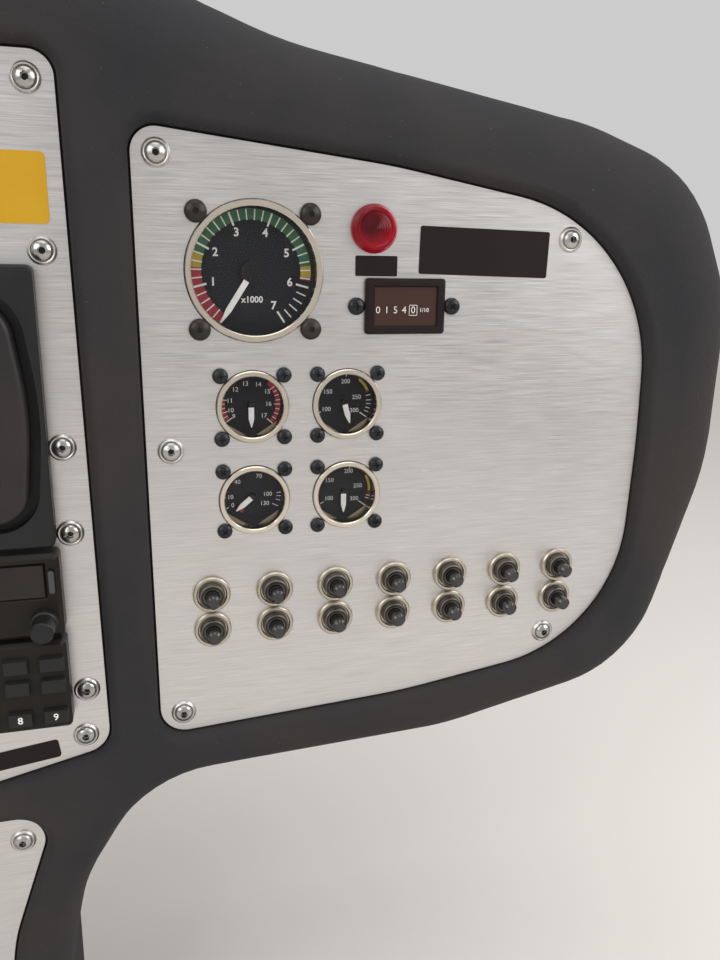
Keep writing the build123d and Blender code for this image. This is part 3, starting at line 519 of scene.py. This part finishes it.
def piece(name, bm, material, body="panel"):
    """Makes an object of a bmesh, smooth but for its sharp edges, riding on a body."""
    mesh = bpy.data.meshes.new(name)
    bm.to_mesh(mesh)
    bm.free()
    mesh.materials.append(material)
    mesh.shade_smooth()
    mesh.set_sharp_from_angle(angle=radians(SHARP_ANGLE))
    made = bpy.data.objects.new(name, mesh)
    scene.collection.objects.link(made)
    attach(made, body)


def turned(profile, steps=24):
    """Turned shape from a list of radius and height, about its own Z."""
    bm = bmesh.new()
    verts = [bm.verts.new((r, 0, h)) for r, h in profile]
    edges = [bm.edges.new(pair) for pair in zip(verts, verts[1:])]
    bmesh.ops.spin(
        bm, geom=verts + edges, axis=(0, 0, 1), angle=2 * pi, steps=steps, use_merge=True)
    bmesh.ops.remove_doubles(bm, verts=bm.verts, dist=1e-4)
    bmesh.ops.recalc_face_normals(bm, faces=bm.faces)
    return bm


def take_in(bm, extra):
    """Adds a second bmesh to the first and frees it."""
    mesh = bpy.data.meshes.new("extra")
    extra.to_mesh(mesh)
    extra.free()
    bm.from_mesh(mesh)
    bpy.data.meshes.remove(mesh)


def copies(bm, places, y=None):
    """The small shape at each place, X, Z and turn in millimetres and degrees."""
    single = bpy.data.meshes.new("single")
    bm.to_mesh(single)
    bm.free()
    whole = bmesh.new()
    for x, z, turn in places:
        whole.from_mesh(single)
        whole.verts.ensure_lookup_table()
        fresh = whole.verts[-len(single.vertices):]
        bmesh.ops.transform(whole, matrix=on_face(x, z, y, turn), verts=fresh)
    bpy.data.meshes.remove(single)
    return whole


print("face of the plates at y", round(face_y, 4))

# %% [markdown]
# Screws
#
# Three kinds hold the panel together. Stainless button-head screws in turned cup washers
# hold the plates. The gauges have black oxidised screws: cross-head pan screws on the
# small ones and the hour meter, socket screws on the medium and large ones. Each head is
# a turned profile whose inner rings of points are then pushed into the shape of the
# driver's recess: six flats for a socket, or four arms for a cross. That gives a real
# recess with few faces.

# %% Screw heads


def hexagon(angle, flat_r):
    """Distance from the middle to a hexagon's side in a direction."""
    return flat_r / cos((angle + pi / 6) % (pi / 3) - pi / 6)


def cross(angle, arm, width):
    """Distance from the middle to a cross's outline in a direction."""
    near, far = sorted((abs(sin(angle)), abs(cos(angle))))
    if near < 1e-6:
        return arm
    return min(arm / far, width / 2 / near)


def screw_head(head_r, height, recess_r, recess_depth, outline):
    """Domed head with a driver's recess, standing on Z 0."""
    rim = 0.35 * height                 # where the dome begins
    profile = [(head_r * 0.96, 0), (head_r, rim * 0.5), (head_r, rim)]
    # the dome's points as shares of the head's radius and of the height over the rim
    dome = [(0.94, 0.32), (0.8, 0.6), (0.6, 0.82), (recess_r / head_r, 1.0)]
    profile += [(head_r * r, rim + (height - rim) * h) for r, h in dome]
    recess_floor = height - recess_depth
    profile += [(recess_r, recess_floor), (0, recess_floor - 0.2)]
    bm = turned(profile)
    for vert in bm.verts:
        if abs(vert.co.xy.length - recess_r) < 1e-3:
            angle = vert.co.xy.angle_signed(Vector((1, 0)))
            vert.co.xy = vert.co.xy.normalized() * outline(angle)
    return bm


def cup_washer(outer_r, inner_r, height):
    """Turned washer with a sloping wall and a rounded lip, standing on Z 0."""
    foot, slope, lip = 0.3, 0.5, 0.2
    return turned([
        (outer_r, 0), (outer_r, foot), (outer_r - slope, height * 0.75),
        (inner_r + slope, height), (inner_r, height - lip), (inner_r - slope, 0),
    ], steps=32)


# X and Z of the screws in each plate
SIDE_SCREWS = [(127.2, 515.2), (310.7, 485.9), (127.6, 394.6), (311.6, 290.3), (127.8, 268.4)]
CENTRE_SCREWS = [
    (81.4, 539.2), (82.2, 477.3), (83.6, 398.2), (84.0, 360.6), (85.6, 285.9), (83.6, 263.0),
]
STEM_SCREWS = [(52.0, 211.6), (20.0, 50.0)]
plate_screws = {
    "right": SIDE_SCREWS,
    "left": [(-x, z) for x, z in SIDE_SCREWS],
    "centre": CENTRE_SCREWS + [(-x, z) for x, z in CENTRE_SCREWS],
    "stem": STEM_SCREWS + [(-x, z) for x, z in STEM_SCREWS],
}
SHADE_R, SHADE_LOW, SHADE_HIGH = 1.3, 0.45, 0.62      # dark disc on the socket's floor: painted shade in the recess
for plate, spots in plate_screws.items():
    # each screw stopped at its own turn, so the recesses don't line up
    places = [(x, z, (37 * i * i + 11 * i) % 60) for i, (x, z) in enumerate(spots)]
    head = screw_head(
        head_r=4.2, height=2.9, recess_r=1.7, recess_depth=2.3,
        outline=lambda angle: hexagon(angle, flat_r=1.47),
    )
    piece(f"{plate}_plate_screws", copies(head, places), stainless)
    # a dark disc in each socket: painted shade on the recess's floor
    shade = turned([
        (0, SHADE_LOW), (SHADE_R, SHADE_LOW), (SHADE_R, SHADE_HIGH), (0, SHADE_HIGH),
    ], steps=16)
    piece(f"{plate}_plate_screw_socket_painted_shades", copies(shade, places), oxide)
    washer = cup_washer(outer_r=5.7, inner_r=4.3, height=1.3)
    piece(f"{plate}_plate_washers", copies(washer, places), nut_metal)
print("plate screws", sum(len(spots) for spots in plate_screws.values()))

# %% Screws of the gauges and the hour meter


def corners(x, z, pitch):
    """Four screw places round a gauge, each turned by an angle that its place gives."""
    half = pitch / 2
    spots = [(x - half, z + half), (x + half, z + half), (x + half, z - half), (x - half, z - half)]
    return [(a, b, (a * 7 + b * 3) % 90) for a, b in spots]


SCREW_SQUARES = {"small": 27.55, "medium": 47.35, "large": 62.9}
gauge_sizes = {
    "small": ("voltmeter", "cylinder_temperature", "oil_pressure", "oil_temperature"),
    "medium": ("tachometer", "vertical_speed"),
    "large": ("airspeed", "altimeter"),
}
for size, names in gauge_sizes.items():
    spots = [s for n in names for s in corners(*gauge_middles[n], SCREW_SQUARES[size])]
    if size == "small":
        head = screw_head(
            head_r=3.4, height=2.3, recess_r=1.5, recess_depth=1.0,
            outline=lambda angle: cross(angle, arm=1.7, width=0.62),
        )
    else:
        head = screw_head(
            head_r=4.6, height=3.1, recess_r=1.3, recess_depth=1.4,
            outline=lambda angle: hexagon(angle, flat_r=1.15),
        )
    piece(f"{size}_gauge_screws", copies(head, spots), oxide if size == "small" else worn_oxide)

HOUR_X, HOUR_Z = middle("hour_meter_case")
HOUR_SCREW_REACH = 22.15    # from the hour meter's middle to the screw at each side
hour_screws = [(HOUR_X + side * HOUR_SCREW_REACH, HOUR_Z, 20 + 25 * side) for side in (-1, 1)]
head = screw_head(
    head_r=3.8, height=2.3, recess_r=1.6, recess_depth=1.0,
    outline=lambda angle: cross(angle, arm=1.85, width=0.7),
)
piece("hour_meter_screws", copies(head, hour_screws), oxide)
print("gauge screws", 4 * len(NEEDLES) + len(hour_screws))

# %% [markdown]
# Printed dials
#
# The scales are screen-printed on the dials: coloured bands, white ticks across them and
# plain numbers inside. Ink has next to no thickness, so each tick is a very flat box and
# each band a flat strip spun through its angle. A scale runs clockwise from a start to
# an end angle, counted from straight up, and one function finds the angle of a value.

# %% Helpers for dials
INK = 0.05                  # height of the ink on the dial
BAND_STEP = 4               # degrees, about, for each face of a band


def tick(bm, lay, angle, inner, outer, width):
    """Flat box along a radius, at a clockwise angle from up."""
    along = Matrix.Translation((0, (inner + outer) / 2, INK / 2))
    shape = Matrix.Diagonal((width, outer - inner, INK, 1))
    turn = Matrix.Rotation(-radians(angle), 4, "Z")
    bmesh.ops.create_cube(bm, size=1.0, matrix=lay @ turn @ along @ shape)


def band(bm, lay, start, end, inner, outer):
    """Flat strip spun clockwise from one angle to another, half as high as the ticks."""
    strip = bmesh.new()
    top = INK / 2
    corner_points = [(0, inner, 0), (0, outer, 0), (0, outer, top), (0, inner, top)]
    face = strip.faces.new([strip.verts.new(point) for point in corner_points])
    steps = max(2, int((end - start) / BAND_STEP))
    bmesh.ops.rotate(strip, verts=strip.verts, matrix=Matrix.Rotation(-radians(start), 3, "Z"))
    bmesh.ops.spin(strip, geom=[face], axis=(0, 0, 1), angle=-radians(end - start), steps=steps)
    bmesh.ops.recalc_face_normals(strip, faces=strip.faces)
    bmesh.ops.transform(strip, matrix=lay, verts=strip.verts)
    take_in(bm, strip)


def number(bm, lay, text, height, x, y, bold=0.012):
    """Figures set round a point; bold is what their outline grows by, for each unit of height."""
    curve = bpy.data.curves.new("figures", "FONT")
    curve.body = text
    curve.size = height * 1.4            # a figure is about 0.7 of the type size
    curve.align_x = "CENTER"
    curve.align_y = "CENTER"
    curve.resolution_u = 3
    curve.extrude = INK / 2
    curve.offset = height * bold
    carrier = bpy.data.objects.new("figures", curve)
    mesh = bpy.data.meshes.new_from_object(carrier)
    mesh.transform(lay @ Matrix.Translation((x, y, INK / 2)))
    bm.from_mesh(mesh)
    bpy.data.objects.remove(carrier)
    bpy.data.curves.remove(curve)
    bpy.data.meshes.remove(mesh)


def on_circle(angle, r):
    """X and Y on a circle, at a clockwise angle from up."""
    return r * sin(radians(angle)), r * cos(radians(angle))


dial_y = {size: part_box(f"{size}_gauge_dials")[0].y for size in gauge_sizes}
print("dials at y", {size: round(y, 4) for size, y in dial_y.items()})

# %% Engine speed dial
lay = on_face(*gauge_middles["tachometer"], dial_y["medium"])
BAND_RADII = (21.5, 26.0)           # from and to
LONG_TICK = (20.1, 25.8, 0.85)      # from and to radius, width
SHORT_TICK = (21.3, 25.8, 0.55)
SPEED_FIGURE, FIGURES_R = 3.5, 17.2
MULTIPLIER, MULTIPLIER_Y = 2.7, -11.9
MOST = 7                            # thousand turns at the end of the scale


def speed_angle(value):
    """Angle of so many thousand turns: the scale runs over 294 degrees, 42 for each."""
    return -147 + 42 * value


green, red, yellow, white = (bmesh.new() for colour in range(4))
speed_bands = [     # from and to thousand turns
    (red, 0, 1.45), (yellow, 1.45, 1.8), (green, 1.8, 5.5), (yellow, 5.5, 5.77), (red, 5.77, 5.84),
]
for bm, start, end in speed_bands:
    band(bm, lay, speed_angle(start), speed_angle(end), *BAND_RADII)
for fifth in range(5 * MOST + 1):
    tick(white, lay, speed_angle(fifth / 5), *(SHORT_TICK if fifth % 5 else LONG_TICK))
for value in range(1, MOST + 1):
    place = on_circle(speed_angle(value), FIGURES_R)
    number(white, lay, str(value), SPEED_FIGURE, *place, bold=0.035)
number(white, lay, "x1000", MULTIPLIER, 0.0, MULTIPLIER_Y, bold=0.03)
for name, bm, ink in (("green_band", green, print_green), ("red_band", red, print_red),
                      ("yellow_band", yellow, print_yellow), ("scale", white, print_white)):
    piece(f"tachometer_{name}", bm, ink)
print("engine speed dial printed")

# %% Small dials
# name: numbers (value, angle, radius), ticks (angles, from and to radius), bands
# (from and to angle, from and to radius, ink), all in degrees and millimetres
small_dials = {
    "voltmeter": (
        [(9, -126, 9.3), (10, -107, 9.3), (11, -80, 9.3), (12, -45, 9.3), (13, -13, 9.3),
         (14, 23, 9.3), (15, 55, 9.3), (16, 92, 8.1), (17, 133, 8.1)],
        [((-126, 133), 10.0, 13.4), ((-107, -80, 55, 92), 10.6, 13.4),
         ((-117, -98, -89, 64, 73, 83, 102, 112, 122), 11.4, 13.4)],
        [(-126, -80, 11.4, 13.4, print_red), (41, 133, 11.4, 13.4, print_red)],
    ),
    "cylinder_temperature": (
        [(100, -114, 8.7), (150, -58, 8.5), (200, 7, 9.1), (250, 75, 6.6), (300, 130, 6.9)],
        [((-114, -58, 7), 11.4, 12.6), ((78, 89, 97, 106, 114), 11.0, 13.2), ((124.5,), 9.6, 13.6)],
        [(37, 67, 11.8, 13.0, print_yellow), (68, 70.5, 11.4, 13.2, print_red)],
    ),
    "oil_pressure": (
        [(0, -116, 10.1), (10, -93, 10.1), (40, -46, 9.3), (70, 20, 9.3), (100, 90, 7.0),
         (130, 128, 7.1)],
        [((-116, -93, -46, 20), 12.2, 13.3), ((87.5, 95, 104), 11.2, 13.2), ((117,), 10.2, 13.2)],
        [(209, 225, 8.2, 9.6, print_red)],
    ),
    "oil_temperature": (
        [(100, -120.5, 7.6), (150, -52, 8.0), (200, 18, 9.4), (250, 78, 7.6), (300, 129, 7.4)],
        [((-120.5, -52, 18), 10.4, 12.5), ((105, 111), 12.0, 13.9), ((126.5,), 9.9, 14.1)],
        [(60, 95, 12.5, 13.6, print_yellow), (98.5, 101, 12.2, 13.8, print_red)],
    ),
}
SMALL_FIGURE = 2.05
LONG_WIDTH, SHORT_WIDTH = 0.42, 0.32    # a tick over 3 millimetres long is a wide one
for name, (numbers, ticks, bands) in small_dials.items():
    lay = on_face(*gauge_middles[name], dial_y["small"])
    white = bmesh.new()
    for value, angle, r in numbers:
        number(white, lay, str(value), SMALL_FIGURE, *on_circle(angle, r), bold=0.0)
    for angles, inner, outer in ticks:
        for angle in angles:
            tick(white, lay, angle, inner, outer, LONG_WIDTH if outer - inner > 3 else SHORT_WIDTH)
    piece(f"{name}_scale", white, print_white)
    for i, (*stretch, ink) in enumerate(bands):
        strip = bmesh.new()
        band(strip, lay, *stretch)
        piece(f"{name}_band_{i + 1}", strip, ink)


def flat_ring(inner, outer, low, high):
    """Flat ring between two radii and two heights."""
    return turned([
        (inner, low), (outer, low), (outer, high), (inner, high), (inner, low),
    ], steps=40)


# cream trays under the small dials show where the dials are cut straight below
tray_places = [(*gauge_middles[name], 0) for name in small_dials]
tray = flat_ring(inner=12.6, outer=15.2, low=-0.6, high=-0.3)
piece("small_dial_trays", copies(tray, tray_places, dial_y["small"]), tray_cream)
print("small dials printed", len(small_dials))

# %% [markdown]
# Dials of the left plate
#
# The left side is out of the picture. Such panels carry the flight instruments there:
# airspeed with its coloured arcs, altimeter and vertical speed. Their scales are the
# plain standard ones, in numbers only.

# %% Flight dials
# shares of the scale's radius: where ticks start, their widths, where the numbers stand
MINOR_FROM, MINOR_WIDTH = 0.89, 0.014
MAJOR_FROM, MAJOR_WIDTH = 0.82, 0.03
NUMBERS_AT = 0.68


def flight_dial(name, size, values, angle_of, minor, r, figure, arcs):
    """Ticks and numbers round a dial, and any coloured arcs across the ticks."""
    lay = on_face(*gauge_middles[name], dial_y[size])
    white = bmesh.new()
    for angle in minor:
        tick(white, lay, angle, r * MINOR_FROM, r, r * MINOR_WIDTH)
    for value in values:
        tick(white, lay, angle_of(value), r * MAJOR_FROM, r, r * MAJOR_WIDTH)
        number(white, lay, str(abs(value)), figure, *on_circle(angle_of(value), r * NUMBERS_AT))
    piece(f"{name}_scale", white, print_white)
    for i, (start, end, inner, outer, ink) in enumerate(arcs):
        strip = bmesh.new()
        band(strip, lay, angle_of(start), angle_of(end), r * inner, r * outer)
        piece(f"{name}_arc_{i + 1}", strip, ink)


def airspeed_angle(knots):
    """0 to 160 knots over 330 degrees."""
    return knots / 160 * 330


def height_angle(hundreds):
    """Ten hundred feet over the whole circle."""
    return 36 * hundreds


def climb_angle(hundreds):
    """20 hundred feet a minute over 150 degrees, up or down from the left."""
    return -90 + hundreds / 20 * 150


airspeed_arcs = [   # from and to knots, from and to share of the radius, ink
    (44, 120, 0.93, 1.02, print_green), (120, 145, 0.93, 1.02, print_yellow),
    (39, 62, 0.86, 0.90, print_white), (145, 146.5, 0.80, 1.02, print_red),
]
flight_dial(
    "airspeed", "large", range(20, 161, 20), airspeed_angle,
    minor=[airspeed_angle(v) for v in range(5, 160, 5)], r=34.5, figure=4.4, arcs=airspeed_arcs,
)
flight_dial(
    "altimeter", "large", range(10), height_angle,
    minor=[height_angle(i / 5) for i in range(50)], r=34.5, figure=5.0, arcs=[],
)
flight_dial(
    "vertical_speed", "medium", range(-20, 21, 5), climb_angle,
    minor=[climb_angle(v) for v in range(-20, 21)], r=24.8, figure=3.4, arcs=[],
)
print("flight dials printed")

# %% [markdown]
# Hour meter
#
# The counter is a dark brown printed face in the case's window. It shows five figures in
# a row: four for whole hours, and the tenths in a thin frame with their fraction beside
# it. Figures and frame are ink on the flat face.

# %% Counter figures
HOURS, TENTHS = "0154", "0"
COUNTER_FIGURE, FRACTION = 3.1, 1.8     # heights
FIGURES_Z = -1.65           # from the middle of the case, like the places across it
HOURS_X, HOURS_PITCH = -12.7, 4.0
TENTHS_X, FRACTION_X = 3.5, 8.6
FRAME_WIDTH, FRAME_HEIGHT, FRAME_LINE = 3.8, 4.6, 0.22
FRAME_INSET = 0.1           # from the frame's edge to the middle of its line
lay = on_face(HOUR_X, HOUR_Z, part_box("hour_meter_counter")[0].y)
white = bmesh.new()
columns = [HOURS_X + HOURS_PITCH * i for i in range(len(HOURS))] + [TENTHS_X]
for figure, across in zip(HOURS + TENTHS, columns):
    number(white, lay, figure, COUNTER_FIGURE, across, FIGURES_Z, bold=-0.015)
number(white, lay, "1/10", FRACTION, FRACTION_X, FIGURES_Z, bold=0.0)
line_x, line_z = FRAME_WIDTH / 2 - FRAME_INSET, FRAME_HEIGHT / 2 - FRAME_INSET
upright = [(side * line_x, 0, FRAME_LINE, FRAME_HEIGHT) for side in (-1, 1)]
level = [(0, side * line_z, FRAME_WIDTH, FRAME_LINE) for side in (-1, 1)]
for across, up, width, height in upright + level:
    place = Matrix.Translation((TENTHS_X + across, FIGURES_Z + up, INK / 2))
    shape = Matrix.Diagonal((width, height, INK, 1))
    bmesh.ops.create_cube(white, size=1.0, matrix=lay @ place @ shape)
piece("hour_meter_figures", white, print_white)
print("hour meter counts", len(columns), "figures")

# %% [markdown]
# Blank placards
#
# The panel has printed foil labels: a large black one, two small black ones and a yellow
# one. They stay where they are, without words. Each is a thin sheet with rounded corners,
# and two are glued on slightly askew like the real ones.

# %% Placards
SHEET = 0.2                 # thickness


def placard(bm, x, z, width, height, turn, corner, y=None):
    """Thin sheet with rounded corners, centred on X, Z."""
    sheet = bmesh.new()
    lift = Matrix.Translation((0, 0, SHEET / 2))
    shape = Matrix.Diagonal((width, height, SHEET, 1))
    bmesh.ops.create_cube(sheet, size=1.0, matrix=lift @ shape)
    upright = [e for e in sheet.edges if abs(e.verts[0].co.z - e.verts[1].co.z) > SHEET / 2]
    bmesh.ops.bevel(sheet, geom=upright, affect="EDGES", offset=corner, segments=3, profile=0.5,
                    material=-1)
    bmesh.ops.transform(sheet, matrix=on_face(x, z, y, turn), verts=sheet.verts)
    take_in(bm, sheet)


# X and Z of the middle, width, height, turn, corner radius
BLACK_PLACARDS = [
    (268.85, 479.45, 62.0, 20.4, 1.3, 1.0),
    (218.3, 473.05, 18.9, 8.6, 0.0, 0.6),
    (42.0, 254.0, 60.0, 9.0, -7.5, 1.5),
]
YELLOW_PLACARD = (48.0, 500.45, 76.0, 26.5, 0.0, 2.0)
black, yellow = bmesh.new(), bmesh.new()
for sizes in BLACK_PLACARDS:
    placard(black, *sizes)
placard(yellow, *YELLOW_PLACARD)
piece("black_placards", black, placard_black)
piece("yellow_placard", yellow, placard_yellow)
print("placards", len(BLACK_PLACARDS) + 1)

# %% [markdown]
# Trim of the breakers and the centre stack
#
# A breaker's button slides in a plated collar that nearly fills the mouth of its bush.
# The navigator's buttons have a dark line round them, the shade in their fine groove.
# The radio and the transponder have a glossy pane in the display, a grey rubber pad at
# the radio's side and plain figures on the number keys. The knobs end in a dark rim.

# %% Collars and grooves
BREAKER_X, BREAKER_PITCH, BREAKER_ROWS_Z = 142.68, 28.98, (326.97, 309.61)
BREAKERS_IN_ROW = 7
breaker_places = [
    (BREAKER_X + BREAKER_PITCH * i, z, 0) for z in BREAKER_ROWS_Z for i in range(BREAKERS_IN_ROW)
]
COLLAR_IN, COLLAR_OUT, COLLAR_EDGE = 3.4, 4.45, 0.2
COLLAR_BACK, COLLAR_FRONT = -2.5, -0.3      # from the mouth of the bush
mouth_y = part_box("breaker_bodies")[0].y
collar = turned([
    (COLLAR_IN, COLLAR_BACK), (COLLAR_IN, COLLAR_FRONT - COLLAR_EDGE),
    (COLLAR_IN + COLLAR_EDGE, COLLAR_FRONT), (COLLAR_OUT - COLLAR_EDGE, COLLAR_FRONT),
    (COLLAR_OUT, COLLAR_FRONT - COLLAR_EDGE), (COLLAR_OUT, COLLAR_BACK), (COLLAR_IN, COLLAR_BACK),
], steps=20)
piece("breaker_collars", copies(collar, breaker_places, mouth_y), zinc)

# X and height over the dock's middle of each button, and the radius of its groove
NAVIGATOR_BUTTONS = [(50.0, -1.9, 12.5), (54.0, -27.0, 6.3), (54.0, 23.2, 6.3)]
GROOVE_DEPTH = 0.7
LINE_FROM, LINE_TO, LINE_HEIGHT = 0.75, 0.05, 0.3   # the dark line, inside the groove's radius
dock_z = middle("navigator_dock")[1]
groove_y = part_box("navigator")[0].y + GROOVE_DEPTH * MM
shades = bmesh.new()
for x, up, r in NAVIGATOR_BUTTONS:
    shade = flat_ring(inner=r - LINE_FROM, outer=r - LINE_TO, low=0.0, high=LINE_HEIGHT)
    take_in(shades, copies(shade, [(x, dock_z + up, 0)], groove_y))
piece("navigator_button_shades", shades, printed_black)
print("collars", len(breaker_places), "grooves", len(NAVIGATOR_BUTTONS))

# %% Panes, pad, key figures and knob rims
radio_z, transponder_z = middle("radio")[1], middle("transponder")[1]
unit_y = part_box("radio")[0].y
PANE_SINK, PAD_PROUD = 1.2, 0.8         # from the front of the units
# X of the middle, height over the middle of the unit, width, height
RADIO_PANE = (1.0, 7.0, 143.6, 14.2)
TRANSPONDER_PANE = (0.0, 5.5, 87.6, 18.6)
RADIO_PAD = (76.0, 7.0, 2.3, 10.3)


def sheet_on_unit(bm, unit_z, sizes, corner, y):
    """Upright rounded sheet on a radio unit."""
    x, up, width, height = sizes
    placard(bm, x, unit_z + up, width, height, turn=0.0, corner=corner, y=y)


panes, pad = bmesh.new(), bmesh.new()
sheet_on_unit(panes, radio_z, RADIO_PANE, corner=0.3, y=unit_y + PANE_SINK * MM)
sheet_on_unit(panes, transponder_z, TRANSPONDER_PANE, corner=0.3, y=unit_y + PANE_SINK * MM)
sheet_on_unit(pad, radio_z, RADIO_PAD, corner=1.1, y=unit_y - PAD_PROUD * MM)
piece("display_panes", panes, display_glass)
piece("radio_side_pad", pad, pad_rubber)

KEY_PITCH, KEY_COUNT, KEYS_DOWN, KEY_FIGURE = 14.6, 10, 14.0, 3.2
key_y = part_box("transponder_keys")[0].y
figures = bmesh.new()
for figure in range(KEY_COUNT):
    # the key with the 4 lies in the middle
    lay = on_face((figure - 4) * KEY_PITCH, transponder_z - KEYS_DOWN, key_y)
    number(figures, lay, str(figure), KEY_FIGURE, 0.0, 0.0, bold=0.02)
piece("key_figures", figures, print_white)

KNOB_X, KNOB_DOWN = 71.8, 11.0      # from the radio's middle
knob_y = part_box("radio_knobs")[0].y
knob_places = [(side * KNOB_X, radio_z - KNOB_DOWN, 0) for side in (-1, 1)]
# radius and height round the rim's section
KNOB_RIM = [(3.3, -0.3), (3.5, 0.05), (4.1, 0.05), (4.3, -0.3), (3.3, -0.3)]
rim = turned(KNOB_RIM, steps=32)
piece("radio_knob_rims", copies(rim, knob_places, knob_y), oxide)
print("figures on keys", KEY_COUNT, "knob rims", len(knob_places))
